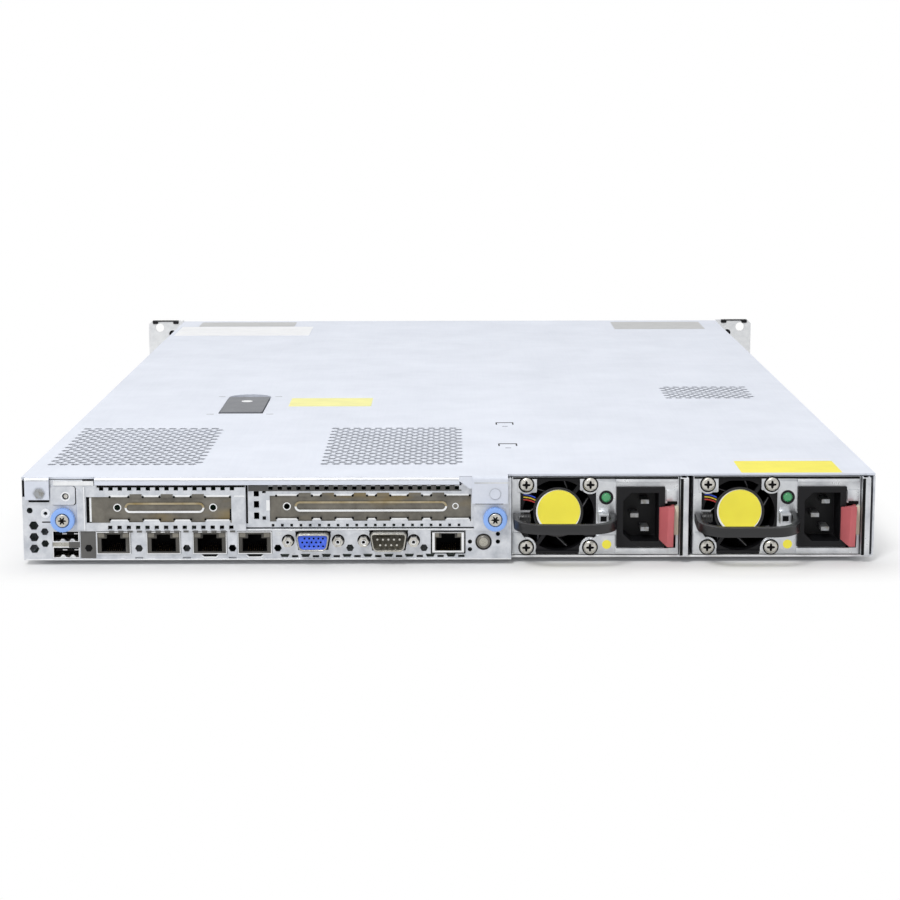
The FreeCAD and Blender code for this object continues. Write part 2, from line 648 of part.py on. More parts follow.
def slot_cover(limits, y, bead_limits, hole_places):
    """Blanking plate behind a slot opening with a pressed bead and two round holes."""
    height = (WINDOW_HEIGHT[0] - SLOT_COVER_LAP, WINDOW_HEIGHT[1] + SLOT_COVER_LAP)
    holes = [(x, BEAD_HEIGHT, 1.5) for x in hole_places]
    plate = sheet(rectangle(limits, height), on_wall(y), Y_AXIS * SLOT_COVER_SHEET, (), holes)
    ridge = obround(bead_limits, (y - 0.6, y + 0.1), BEAD_HEIGHT, BEAD_RADIUS)
    groove_limits = (bead_limits[0] + BEAD_WALL, bead_limits[1] - BEAD_WALL)
    groove = obround(groove_limits, (y - 1, y + 0.1), BEAD_HEIGHT, BEAD_RADIUS - BEAD_WALL)
    return plate.fuse(ridge.cut(groove)).removeSplitter()


def slot_covers():
    """Low-profile plate, which leaves a slit at its left, and full-height plate."""
    first, last = LOW_WINDOW
    low_limits = (first, last + SLOT_COVER_LAP)
    low = slot_cover(low_limits, 0, (first + 16.7, last - 13.5), (first + 13.0, last - 9.2))
    first, last = TALL_WINDOW
    tall_limits = (first - SLOT_COVER_LAP, last + SLOT_COVER_LAP)
    tall_y = TALL_RECESS + SHEET
    tall = slot_cover(tall_limits, tall_y, (first + 12.4, last - 12.0), (first + 8.5, last - 7.8))
    return Part.makeCompound([low, tall])


def thumbscrew(x):
    """Captive screw with a round plastic grip around its head."""
    front_y = -SHEET - MOVE_GAP - THUMB_LENGTH
    grip = rod((x, front_y, THUMB_HEIGHT), Y_AXIS, THUMB_RADIUS, THUMB_LENGTH)
    grip = grip.makeFillet(0.6, [e for e in grip.Edges if isinstance(e.Curve, Part.Circle)])
    grip = grip.cut(rod((x, front_y - 1, THUMB_HEIGHT), Y_AXIS, THUMB_CORE_RADIUS + 0.02, THUMB_LENGTH + 2))
    head = rod((x, front_y - 0.6, THUMB_HEIGHT), Y_AXIS, THUMB_CORE_RADIUS, THUMB_LENGTH + 0.6)
    recess = sheet(hexagon(x, THUMB_HEIGHT, 1.7), on_wall(front_y - 1), Y_AXIS * 3)
    shank = rod((x, front_y, THUMB_HEIGHT), Y_AXIS, THUMB_SHANK_RADIUS, THUMB_LENGTH + 12)
    return Part.makeCompound([grip, head.fuse(shank).cut(recess)])


# Access panel and its latch

def folded_edge(limits, bottom):
    """Down-turned strip along the rear edge of the access panel, bent at its top."""
    outer = -COVER_OVERHANG
    strip = box(limits, (outer, outer + SHEET + BEND), (bottom, BODY_HEIGHT))
    strip = strip.cut(box((limits[0] - 1, limits[1] + 1), (outer + SHEET, 5), (bottom - 1, COVER_UNDERSIDE)))
    bend = [e for e in edges_along(strip, X_AXIS)
            if e.CenterOfMass.z > BODY_HEIGHT - 0.01 and e.CenterOfMass.y < outer + 0.01]
    return strip.makeFillet(BEND, bend)


def latch_pan_solid(grow, bottom, top):
    """Block with a round front end, the form of the latch recess grown by a margin."""
    half = LEVER_WIDTH / 2 + LEVER_SIDE_GAP
    centre_y = PAN_FRONT - half
    body = box(span(PAN_CENTRE, 2 * (half + grow)), (PAN_REAR - grow, centre_y), (bottom, top))
    return body.fuse(rod((PAN_CENTRE, centre_y, bottom), Z_AXIS, half + grow, top - bottom)).removeSplitter()


def access_panel():
    """Perforated sliding cover with folded rear edges, side guides and the recess for its latch."""
    inner = SHEET + BEND - COVER_OVERHANG
    step = RIGHT_TAB[1]
    outline = [
        (LEFT, inner), (step, inner), (step, COVER_SET_BACK), (RIGHT, COVER_SET_BACK),
        (RIGHT, COVER_FRONT), (LEFT, COVER_FRONT),
    ]
    cut_outs = []
    for x_limits, y_limits in VENT_AREAS:
        cut_outs += hex_grid(x_limits, y_limits, VENT_PITCH, HEX_VENT)
    for y in (96.5, 169.0):
        cut_outs.append(rectangle(span(IO_RIGHT + 0.5, 10.0), span(y, 1.4)))
        cut_outs.append(rectangle(span(IO_RIGHT + 0.5, 3.0), span(y - 13.0, 2.0)))
    plate = sheet(outline, on_plan(COVER_UNDERSIDE), Z_AXIS * SHEET, cut_outs)
    added = []
    for first, last, bottom in (LEFT_TAB, RIGHT_TAB, REAR_LIP):
        added.append(folded_edge((first, last), bottom))
    pressed_y = -COVER_OVERHANG - 0.4
    added.append(sheet(hexagon(LEFT_TAB[0] + 7.2, 34.6, 2.9), on_wall(pressed_y), Y_AXIS * 0.6))
    added.append(rod((THUMB_CENTRES[1], pressed_y, 33.8), Y_AXIS, 2.6, 0.6))
    side = RIGHT - SHEET - MOVE_GAP
    for y in GUIDE_POSITIONS:
        for limits in ((-side, -side + SHEET), (side - SHEET, side)):
            guide_z = (COVER_UNDERSIDE - GUIDE_SIZE[1], COVER_UNDERSIDE)
            added.append(box(limits, span(y, GUIDE_SIZE[0]), guide_z))
    pan_floor = COVER_UNDERSIDE - PAN_DEPTH
    recess = latch_pan_solid(0, pan_floor, BODY_HEIGHT + 1)
    added.append(latch_pan_solid(SHEET, pan_floor - SHEET, COVER_UNDERSIDE))
    plate = plate.multiFuse(added).cut(recess)
    axis_y, axis_drop = LEVER_AXIS
    pin_x = span(PAN_CENTRE, LEVER_WIDTH + 2.4)
    pin_start = (pin_x[0], axis_y, COVER_UNDERSIDE - axis_drop)
    return plate.fuse(rod(pin_start, X_AXIS, LEVER_PIN_RADIUS, pin_x[1] - pin_x[0]))


def latch_lever():
    """Flat lift lever that turns on a pin at the rear of its recess."""
    top = BODY_HEIGHT + LEVER_RISE
    plate = box(span(PAN_CENTRE, LEVER_WIDTH), (LEVER_REAR, LEVER_FRONT), (top - LEVER_THICKNESS, top))
    plate = round_along(plate, Z_AXIS, 2.0)
    axis_y, axis_drop = LEVER_AXIS
    axis_z = COVER_UNDERSIDE - axis_drop
    eye = rod((PAN_CENTRE - 10, axis_y, axis_z), X_AXIS, LEVER_EYE_RADIUS, 20)
    eye_plate = plate.fuse(eye)
    return eye_plate.cut(rod((PAN_CENTRE - 20, axis_y, axis_z), X_AXIS, LEVER_PIN_RADIUS + PIN_FIT, 40))


# Fans

def fan_frame(x, y, z):
    """Square housing with a round duct; motor mount, struts and shaft at its rear face."""
    frame = round_along(box(span(x, FAN_SIZE), (y, y + FAN_DEPTH), span(z, FAN_SIZE)), Y_AXIS, 2.5)
    frame = frame.cut(rod((x, y - 1, z), Y_AXIS, FAN_BORE_RADIUS, FAN_DEPTH + 2))
    for side in (-1, 1):
        for level in (-1, 1):
            centre = (x + side * FAN_SCREW_OFFSET, y - 1, z + level * FAN_SCREW_OFFSET)
            frame = frame.cut(rod(centre, Y_AXIS, 1.7, FAN_DEPTH + 2))
    mount = rod((x, y, z), Y_AXIS, FAN_HUB_RADIUS, STRUT_DEPTH)
    shaft = rod((x, y, z), Y_AXIS, FAN_SHAFT_RADIUS, FAN_DEPTH - 6)
    struts = []
    for turn in (35, 125, 215, 305):
        strut = box((x + FAN_HUB_RADIUS - 1, x + FAN_BORE_RADIUS + 0.5), (y, y + STRUT_DEPTH), span(z, 1.8))
        strut.rotate(Vector(x, y, z), Y_AXIS, turn)
        struts.append(strut)
    return frame.multiFuse([mount, shaft] + struts).removeSplitter()


def fan_rotor(x, y, z):
    """Hub with pitched blades that turns on the shaft of its frame."""
    start = y + STRUT_DEPTH + MOVE_GAP
    length = FAN_DEPTH - STRUT_DEPTH - MOVE_GAP - 3
    hub = rod((x, start, z), Y_AXIS, FAN_HUB_RADIUS - 0.6, length)
    tip = FAN_BORE_RADIUS - ROTOR_TIP_GAP
    blades = []
    for step in range(FAN_BLADES):
        blade = box((x + FAN_HUB_RADIUS - 2, x + tip + 2), (start + 1, start + length - 1), span(z, 1.0))
        blade.rotate(Vector(x, start + length / 2, z), X_AXIS, 35)
        blade.rotate(Vector(x, start, z), Y_AXIS, 360 * step / FAN_BLADES)
        blades.append(blade)
    sweep = rod((x, start, z), Y_AXIS, tip, length)
    rotor = hub.multiFuse(blades).common(sweep)
    bore = rod((x, start - 1, z), Y_AXIS, FAN_SHAFT_RADIUS + SHAFT_FIT, FAN_DEPTH - 6 - STRUT_DEPTH + 1.5)
    return rotor.cut(bore)


# Power supplies

def psu_case(left):
    """Steel sleeve of a supply, open to the rear, with a slot for its board edge and the latch pin."""
    x_limits = (left, left + PSU_WIDTH)
    end = PSU_RECESS + PSU_LENGTH
    case = box(x_limits, (PSU_INNER, end), (PSU_BOTTOM, PSU_TOP))
    wall = PSU_SHEET
    hollow_z = (PSU_BOTTOM + wall, PSU_TOP - wall)
    hollow = box((left + wall, x_limits[1] - wall), (PSU_INNER - 1, end - wall), hollow_z)
    case = case.cut(hollow)
    slot = box((left + 19, left + 65), (end - 2, end + 1), (PSU_BOTTOM + 3.4, PSU_BOTTOM + 6.0))
    case = case.cut(slot)
    pin_foot = (left + LATCH_PIVOT[0], PSU_RECESS + LATCH_PIVOT[1], PSU_BOTTOM)
    pin = rod(pin_foot, Z_AXIS, LATCH_PIN_RADIUS, PSU_MIDDLE + 4 - PSU_BOTTOM)
    return case.fuse(pin).removeSplitter()


def handle_axis():
    """Place of the handle pivot in y and z."""
    return PSU_RECESS - HANDLE_PIN_OUT, PSU_MIDDLE - HANDLE_DROP


def fan_screw_places(left):
    """Places of the four fan screws in x and z, each with its side and level."""
    places = []
    for side in (-1, 1):
        for level in (-1, 1):
            x = left + PSU_FAN_OFFSET + side * FAN_SCREW_OFFSET
            places.append((x, PSU_MIDDLE + level * FAN_SCREW_OFFSET, side, level))
    return places


def fan_opening(left):
    """Square opening for the fan that leaves a rounded lug around each screw."""
    fan_x = left + PSU_FAN_OFFSET
    through = (0, 20)
    opening = box(span(fan_x, FAN_SIZE), through, span(PSU_MIDDLE, FAN_SIZE - 1))
    for x, z, side, level in fan_screw_places(left):
        edge_x = fan_x + side * (FAN_SIZE / 2 + 1)
        edge_z = PSU_MIDDLE + level * (FAN_SIZE / 2 + 1)
        lug = box(sorted((x - side * 3, edge_x)), through, sorted((z, edge_z)))
        rise = box(sorted((x, edge_x)), through, sorted((z - level * 3, edge_z)))
        opening = opening.cut(rod((x, 0, z), Y_AXIS, 5.0, 20)).cut(lug).cut(rise)
    return opening


def psu_face(left):
    """Face plate of a supply with fan, inlet and latch openings and the barrels that hold the handle."""
    through = (0, 20)
    plate = box((left, left + PSU_WIDTH), (PSU_RECESS, PSU_INNER), (PSU_BOTTOM, PSU_TOP))
    pivot_y, pivot_z = handle_axis()
    strip_end = left + HANDLE_START + HANDLE_STRAP + MOVE_GAP + LUG_WIDTH
    strip = box((left, strip_end), through, span(pivot_z, 2 * LUG_RADIUS + 2.0))
    plate = plate.cut(fan_opening(left).cut(strip))
    inlet_x = span(left + INLET_OFFSET, INLET_BODY[0] + 0.4)
    plate = plate.cut(box(inlet_x, through, span(PSU_MIDDLE - INLET_DROP, INLET_BODY[1] + 0.4)))
    latch_x = (left + LATCH_STEM[0] - 3.2, left + LATCH_STEM[1] + 0.6)
    latch_z = (PSU_MIDDLE - LATCH_BOTTOM_DROP - 0.6, PSU_MIDDLE + LATCH_TOP_RISE + 0.6)
    plate = plate.cut(box(latch_x, through, latch_z))
    plate = plate.cut(rod((left + LAMP_OFFSET, 0, PSU_MIDDLE + LAMP_RISE), Y_AXIS, LAMP_RADIUS + 0.2, 20))
    for x, z, side, level in fan_screw_places(left):
        plate = plate.cut(rod((x, 0, z), Y_AXIS, 1.7, 20))
    first_leg = left + HANDLE_START
    last_leg = first_leg + HANDLE_WIDTH
    to_lug = HANDLE_STRAP + MOVE_GAP
    added = []
    for leg, facing in ((first_leg, 1), (last_leg, -1)):
        lug_x = sorted((leg + facing * to_lug, leg + facing * (to_lug + LUG_WIDTH)))
        added.append(box(lug_x, (pivot_y, PSU_INNER), span(pivot_z, 2 * LUG_RADIUS)))
        added.append(rod((lug_x[0], pivot_y, pivot_z), X_AXIS, LUG_RADIUS, LUG_WIDTH))
        pin_x = sorted((leg, leg + facing * to_lug))
        added.append(rod((pin_x[0], pivot_y, pivot_z), X_AXIS, HANDLE_PIN_RADIUS, to_lug))
    return plate.multiFuse(added).removeSplitter()


def psu_handle(left):
    """Loop handle of a supply that swings on two pins."""
    pivot_y, pivot_z = handle_axis()
    x_limits = (left + HANDLE_START, left + HANDLE_START + HANDLE_WIDTH)
    z_limits = span(pivot_z, HANDLE_HEIGHT)
    tip = PSU_RECESS - HANDLE_REACH
    strap = HANDLE_STRAP

    def loop_block(margin, corner, end):
        block = box((x_limits[0] + margin, x_limits[1] - margin), (tip + margin, end), z_limits)
        far = [e for e in edges_along(block, Z_AXIS) if e.CenterOfMass.y < tip + margin + 0.01]
        return block.makeFillet(corner, far)

    loop = loop_block(0, HANDLE_CORNER, pivot_y).cut(loop_block(strap, HANDLE_CORNER - strap, pivot_y + 1))
    for x in (x_limits[0], x_limits[1] - strap):
        loop = loop.fuse(rod((x, pivot_y, pivot_z), X_AXIS, HANDLE_HEIGHT / 2, strap))
    loop = loop.removeSplitter()
    bore = rod((x_limits[0] - 1, pivot_y, pivot_z), X_AXIS, HANDLE_PIN_RADIUS + PIN_FIT, HANDLE_WIDTH + 2)
    return loop.cut(bore)


def psu_latch(left):
    """Release paddle on a long arm that turns about an upright pin inside the case."""
    y0 = PSU_RECESS
    stem_start, stem_end = [left + d for d in LATCH_STEM]
    paddle_start, paddle_bend = [left + d for d in LATCH_PADDLE]
    outline = [
        (paddle_start, y0 - 2.6), (paddle_start, y0 - 3.6), (paddle_bend, y0 - LATCH_REACH),
        (stem_end, y0 - LATCH_REACH), (stem_end, y0 + 3), (stem_start, y0 + 3), (stem_start, y0 - 2.6),
    ]
    bottom = PSU_MIDDLE - LATCH_BOTTOM_DROP
    top = PSU_MIDDLE + LATCH_TOP_RISE
    paddle = sheet(outline, on_plan(bottom), Z_AXIS * (top - bottom))
    pivot_x = left + LATCH_PIVOT[0]
    pivot_y = y0 + LATCH_PIVOT[1]
    arm_bottom = PSU_MIDDLE - 12
    arm_height = 14.0
    arm = box((stem_start, stem_start + 1.2), (y0 + 3, pivot_y), (arm_bottom, arm_bottom + arm_height))
    eye = rod((pivot_x, pivot_y, arm_bottom), Z_AXIS, LATCH_EYE_RADIUS, arm_height)
    bore = rod((pivot_x, pivot_y, arm_bottom - 1), Z_AXIS, LATCH_PIN_RADIUS + PIN_FIT, arm_height + 2)
    return paddle.multiFuse([arm, eye]).cut(bore).removeSplitter()


def inlet_outline(left, size):
    """Corner points of the inlet seen from behind, both left corners cut off."""
    x = left + INLET_OFFSET
    z = PSU_MIDDLE - INLET_DROP
    half_width, half_height = size[0] / 2, size[1] / 2
    cut = INLET_CHAMFER
    return [
        (x - half_width + cut, z - half_height), (x + half_width, z - half_height),
        (x + half_width, z + half_height), (x - half_width + cut, z + half_height),
        (x - half_width, z + half_height - cut), (x - half_width, z - half_height + cut),
    ]


def psu_inlet(left):
    """Mains inlet housing turned on its side, with a deep socket."""
    front_y = PSU_RECESS - INLET_FLANGE[2]
    flange_x = span(left + INLET_OFFSET, INLET_FLANGE[0])
    flange = box(flange_x, (front_y, PSU_RECESS), span(PSU_MIDDLE - INLET_DROP, INLET_FLANGE[1]))
    body = sheet(inlet_outline(left, INLET_BODY), on_wall(PSU_RECESS), Y_AXIS * INLET_BODY[2])
    socket = sheet(inlet_outline(left, INLET_CAVITY), on_wall(front_y - 1), Y_AXIS * (INLET_CAVITY[2] + 1))
    return flange.fuse(body).cut(socket).removeSplitter()


def psu_inlet_blades(left):
    """Three flat contact blades that stand in the inlet socket."""
    x = left + INLET_OFFSET
    z = PSU_MIDDLE - INLET_DROP
    root = PSU_RECESS - INLET_FLANGE[2] + INLET_CAVITY[2]
    tip = PSU_RECESS + BLADE_SET_IN
    blades = []
    for dx, dz in ((2.4, BLADE_SPREAD), (2.4, -BLADE_SPREAD), (-2.8, 0)):
        blades.append(box(span(x + dx, BLADE_SIZE[0]), (tip, root), span(z + dz, BLADE_SIZE[1])))
    return Part.makeCompound(blades)


def psu_screws(left):
    """Four pan-head screws with cross recesses that hold the fan to the face."""
    pieces = []
    for x, z, side, level in fan_screw_places(left):
        head = rod((x, PSU_RECESS - 1.9, z), Y_AXIS, 3.2, 1.9)
        circles = [e for e in head.Edges if isinstance(e.Curve, Part.Circle)]
        head = head.makeFillet(0.9, [e for e in circles if e.CenterOfMass.y < PSU_RECESS - 1])
        shank = rod((x, PSU_RECESS - 0.5, z), Y_AXIS, 1.4, 10.0)
        recess_y = (PSU_RECESS - 3, PSU_RECESS - 0.9)
        recess = box(span(x, 3.6), recess_y, span(z, 0.9)).fuse(box(span(x, 0.9), recess_y, span(z, 3.6)))
        pieces.append(head.fuse(shank).cut(recess))
    return Part.makeCompound(pieces)


def psu_lamp(left):
    """Status lens and the ring around it."""
    x = left + LAMP_OFFSET
    z = PSU_MIDDLE + LAMP_RISE
    lens = rod((x, PSU_RECESS - 1.8, z), Y_AXIS, LAMP_RADIUS, 8.0)
    circles = [e for e in lens.Edges if isinstance(e.Curve, Part.Circle)]
    lens = lens.makeFillet(1.2, [e for e in circles if e.CenterOfMass.y < PSU_RECESS - 1])
    ring = rod((x, PSU_RECESS - 1.0, z), Y_AXIS, LAMP_RING_RADIUS, 1.0)
    return Part.makeCompound([lens, ring.cut(rod((x, 0, z), Y_AXIS, LAMP_RADIUS + 0.02, 20))])


def psu_board(left):
    """Circuit board of a supply with its edge tongue, transformer, capacitors and heat sinks."""
    floor = PSU_BOTTOM + 3.9
    start = PSU_RECESS + 50
    end = PSU_RECESS + PSU_LENGTH - 2
    board = box((left + 2, left + PSU_WIDTH - 2), (start, end), (floor, floor + BOARD_THICKNESS))
    tongue = box((left + 20, left + 64), (end, end + 10), (floor, floor + BOARD_THICKNESS))
    feet = [rod((x, y, PSU_BOTTOM + PSU_SHEET), Z_AXIS, 2.5, floor - PSU_BOTTOM - PSU_SHEET)
            for x in (left + 8, left + PSU_WIDTH - 8) for y in (start + 8, end - 8)]
    top = floor + BOARD_THICKNESS
    parts = [
        box((left + 28, left + 58), (start + 70, start + 102), (top, top + 24)),
        box((left + 6, left + 9), (start + 20, start + 125), (top, top + 26)),
        box((left + 70, left + 73), (start + 30, start + 125), (top, top + 26)),
    ]
    for step in range(2):
        parts.append(rod((left + 26 + step * 28, start + 34, top), Z_AXIS, 11.0, 28.0))
    return Part.makeCompound([board.multiFuse([tongue] + feet).removeSplitter()] + parts)


# Front

def rack_ears():
    """Two angle brackets with rack holes and the lugs that hold the release levers."""
    pieces = []
    for side in (-1, 1):
        wall = side * RIGHT
        tip = side * EAR_SPAN / 2
        plate_y = (FRONT - EAR_SHEET, FRONT)
        plate = box(sorted((wall, tip)), plate_y, (0, EAR_HEIGHT))
        corners = [e for e in edges_along(plate, Y_AXIS) if abs(e.CenterOfMass.x - tip) < 0.01]
        plate = plate.makeChamfer(EAR_CHAMFER, corners)
        for level in (-1, 1):
            z = EAR_HEIGHT / 2 + level * RACK_HOLE_RISE / 2
            plate = plate.cut(rod((side * RACK_HOLE_SPAN / 2, FRONT - 5, z), Y_AXIS, RACK_HOLE_RADIUS, 10))
        plate = plate.cut(rod((side * LATCH_HOLE[0], FRONT - 5, LATCH_HOLE[1]), Y_AXIS, LATCH_HOLE[2], 10))
        leg = box(sorted((wall, wall + side * 1.2)), (FRONT - EAR_LEG, FRONT), (4, BODY_HEIGHT - 3))
        pivot_y = FRONT + EAR_LEVER_PIVOT[0]
        lever_start = wall + side * (1.2 + MOVE_GAP)
        lever_end = lever_start + side * EAR_LEVER_WIDTH
        added = [leg]
        for inner in (wall, lever_end + side * MOVE_GAP):
            lug_x = sorted((inner, inner + side * 1.2))
            added.append(box(lug_x, (FRONT - 1, pivot_y + 2.4), span(EAR_LEVER_PIVOT[1], 4.8)))
        pin_x = sorted((wall, lever_end + side * (MOVE_GAP + 1.2)))
        pin_start = (pin_x[0], pivot_y, EAR_LEVER_PIVOT[1])
        added.append(rod(pin_start, X_AXIS, EAR_PIN_RADIUS, pin_x[1] - pin_x[0]))
        pieces.append(plate.multiFuse(added).removeSplitter())
    return Part.makeCompound(pieces)


def ear_lever(side):
    """Release lever on a rack ear that tips forward about a pin near its foot."""
    start = side * (RIGHT + 1.2 + MOVE_GAP)
    x_limits = sorted((start, start + side * EAR_LEVER_WIDTH))
    pivot_y = FRONT + EAR_LEVER_PIVOT[0]
    pivot_z = EAR_LEVER_PIVOT[1]
    foot = rod((x_limits[0], pivot_y, pivot_z), X_AXIS, 3.2, EAR_LEVER_WIDTH)
    stem = box(x_limits, (pivot_y - 3.2, pivot_y + 1.5), (pivot_z, EAR_LEVER_TOP))
    grip = box(x_limits, (pivot_y - 3.2, pivot_y + 4.2), (EAR_LEVER_TOP - 8, EAR_LEVER_TOP))
    lever = foot.multiFuse([stem, grip]).removeSplitter()
    bore_start = (x_limits[0] - 1, pivot_y, pivot_z)
    return lever.cut(rod(bore_start, X_AXIS, EAR_PIN_RADIUS + PIN_FIT, EAR_LEVER_WIDTH + 2))


def bay_corner(column, row):
    """Lower left corner of a drive carrier in its bay."""
    x = CAGE_LEFT + CAGE_SHEET + column * (BAY_WIDTH + CAGE_SHEET) + MOVE_GAP
    z = SHEET + CAGE_SHEET + row * (BAY_HEIGHT + CAGE_SHEET) + MOVE_GAP
    return x, z


def drive_cage():
    """Sheet frame with one open bay for each drive carrier."""
    length = (FRONT - BEZEL_DEPTH - CARRIER_LENGTH, FRONT - 1.0)
    cage = box((CAGE_LEFT, CAGE_RIGHT), length, (SHEET, COVER_UNDERSIDE))
    for column in range(DRIVE_COLUMNS):
        for row in range(DRIVE_ROWS):
            x, z = bay_corner(column, row)
            bay_x = (x - MOVE_GAP, x - MOVE_GAP + BAY_WIDTH)
            bay_z = (z - MOVE_GAP, z - MOVE_GAP + BAY_HEIGHT)
            cage = cage.cut(box(bay_x, (length[0] - 1, length[1] + 1), bay_z))
    return cage


def lever_pivot(column, row):
    """Place of a drive lever's upright pin."""
    x, z = bay_corner(column, row)
    return x + CARRIER_WIDTH - 6.0, FRONT - 2.2, z + CARRIER_HEIGHT / 2


def drive(column, row):
    """Drive carrier with its disk: bezel with a lever recess and pin, two rails, disk between them."""
    x, z = bay_corner(column, row)
    z_limits = (z, z + CARRIER_HEIGHT)
    bezel = box((x, x + CARRIER_WIDTH), (FRONT - BEZEL_DEPTH, FRONT), z_limits)
    pivot_x, pivot_y, middle = lever_pivot(column, row)
    width, height, thickness = DRIVE_LEVER
    recess_x = (pivot_x - width - 1, pivot_x + DRIVE_LEVER_EYE + 1)
    recess = box(recess_x, (FRONT - 5.0, FRONT + 1), span(middle, height + 2 * MOVE_GAP))
    bezel = bezel.cut(recess)
    rail_y = (FRONT - BEZEL_DEPTH - CARRIER_LENGTH + 5, FRONT - BEZEL_DEPTH)
    rails = [box(limits, rail_y, z_limits)
             for limits in ((x, x + RAIL_WIDTH), (x + CARRIER_WIDTH - RAIL_WIDTH, x + CARRIER_WIDTH))]
    pin = rod((pivot_x, pivot_y, middle - height / 2 - 1), Z_AXIS, DRIVE_PIN_RADIUS, height + 2)
    sled = bezel.multiFuse(rails + [pin]).removeSplitter()
    disk_y = (FRONT - BEZEL_DEPTH - 4 - DISK_LENGTH, FRONT - BEZEL_DEPTH - 4)
    disk = box((x + RAIL_WIDTH, x + CARRIER_WIDTH - RAIL_WIDTH), disk_y, (z + 0.6, z + CARRIER_HEIGHT - 2.0))
    return Part.makeCompound([sled, disk])


def drive_lever(column, row):
    """Eject lever in the bezel of a carrier that swings out about an upright pin."""
    pivot_x, pivot_y, middle = lever_pivot(column, row)
    width, height, thickness = DRIVE_LEVER
    z_limits = span(middle, height)
    bar = box((pivot_x - width, pivot_x), span(pivot_y, thickness), z_limits)
    eye = rod((pivot_x, pivot_y, z_limits[0]), Z_AXIS, DRIVE_LEVER_EYE, height)
    lever = bar.fuse(eye).removeSplitter()
    return lever.cut(rod((pivot_x, pivot_y, z_limits[0] - 1), Z_AXIS, DRIVE_PIN_RADIUS + PIN_FIT, height + 2))


def front_panel():
    """Control panel and air inlet beside the drive bays."""
    x_limits = (LEFT + SHEET, CAGE_LEFT)
    outline = rectangle(x_limits, (SHEET, COVER_UNDERSIDE))
    cut_outs = hex_grid((LEFT + 92, CAGE_LEFT - 8), (5, COVER_UNDERSIDE - 4), VENT_PITCH, HEX_VENT)
    cut_outs += [usb_opening(middle, [FRONT_USB_HEIGHT]) for middle in FRONT_USB_CENTRES]
    round_holes = [(POWER_BUTTON[0], POWER_BUTTON[1], POWER_BUTTON[2] + 0.3)]
    round_holes += [(POWER_BUTTON[0] - 6 + 4 * step, 12.0, 1.0) for step in range(4)]
    back = on_wall(FRONT - FRONT_PANEL_DEPTH)
    return sheet(outline, back, Y_AXIS * FRONT_PANEL_DEPTH, cut_outs, round_holes)


# Inside

def system_board():
    """Main circuit board: narrow beside the supplies, full width in front of them."""
    narrow_end = PSU_RECESS + PSU_LENGTH + 30
    edge = 4.0
    outline = [
        (LEFT + edge, 2.0), (IO_RIGHT - edge, 2.0), (IO_RIGHT - edge, narrow_end), (RIGHT - edge, narrow_end),
        (RIGHT - edge, BOARD_LENGTH), (LEFT + edge, BOARD_LENGTH),
    ]
    board = sheet(outline, on_plan(BOARD_BOTTOM), Z_AXIS * BOARD_THICKNESS)
    notch_x = span(LEFT + USB_CENTRE, USB_MOUTH[0] + 2 * (USB_WALL + USB_FIT))
    notch = box(notch_x, (0, USB_SET_IN + USB_DEPTH + USB_FIT), (0, BODY_HEIGHT))
    return board.cut(notch)


def memory_positions():
    """Places of the memory sockets in x: a bank outside and a bank inside each processor."""
    positions = []
    for middle in (-146.0, 0.0, 146.0):
        positions += [middle + (step - 1.5) * MEMORY_PITCH for step in range(4)]
    return positions


def board_components():
    """Sockets, chips and plug headers on the system board."""
    pieces = []
    for x in PROCESSOR_CENTRES:
        pieces.append(box(span(x, 50), span(PROCESSOR_Y, 54), (BOARD_TOP, BOARD_TOP + SOCKET_HEIGHT)))
    socket_z = (BOARD_TOP, BOARD_TOP + SOCKET_HEIGHT)
    for x in memory_positions():
        pieces.append(box(span(x, 6.5), span(PROCESSOR_Y, MEMORY_LENGTH + 8), socket_z))
    pieces.append(box(span(-40, 36), span(190, 36), (BOARD_TOP, BOARD_TOP + 9)))
    for x in riser_board_positions():
        pieces.append(box(span(x, 7.5), (25, 125), (BOARD_TOP, BOARD_TOP + 11)))
    button_back = SHEET + MOVE_GAP + 3.0 + BUTTON_TRAVEL + 0.3
    button_x = span(ID_BUTTON[0], 6)
    pieces.append(box(button_x, (button_back, button_back + 5), (BOARD_TOP, ID_BUTTON[1] + 3)))
    return Part.makeCompound(pieces)


def riser_board_positions():
    """Places of the two riser boards in x, one on each side of the cage spine."""
    spine = LOW_FACE[1] - SHEET / 2
    return [spine - 6.0, spine + 6.0]


def plug_in_boards():
    """Riser boards, memory modules, drive backplane and power backplane."""
    pieces = []
    for x in riser_board_positions():
        pieces.append(box(span(x, BOARD_THICKNESS), (25, 125), (BOARD_TOP + 11, FACE_TOP - SHEET - 1)))
    for x in memory_positions():
        bottom = BOARD_TOP + SOCKET_HEIGHT
        pieces.append(box(span(x, 1.3), span(PROCESSOR_Y, MEMORY_LENGTH), (bottom, bottom + MEMORY_HEIGHT)))
    drive_y = FRONT - BEZEL_DEPTH - CARRIER_LENGTH - 2
    pieces.append(box((CAGE_LEFT, CAGE_RIGHT), (drive_y, drive_y + BOARD_THICKNESS), (SHEET, WALL_TOP)))
    power_y = PSU_RECESS + PSU_LENGTH + 16
    pieces.append(box((IO_RIGHT, RIGHT - 4), (power_y, power_y + BOARD_THICKNESS), (SHEET, WALL_TOP - 4)))
    return Part.makeCompound(pieces)


def heat_sink(x):
    """Finned block on a processor."""
    width, length, height = HEAT_SINK
    bottom = BOARD_TOP + SOCKET_HEIGHT
    block = box(span(x, width), span(PROCESSOR_Y, length), (bottom, bottom + height))
    gaps = []
    for step in range(13):
        middle = x + (step - 6) * 6.0
        gaps.append(box(span(middle, 4.2), span(PROCESSOR_Y, length + 2), (bottom + 5, bottom + height + 1)))
    return block.cut(Part.makeCompound(gaps))


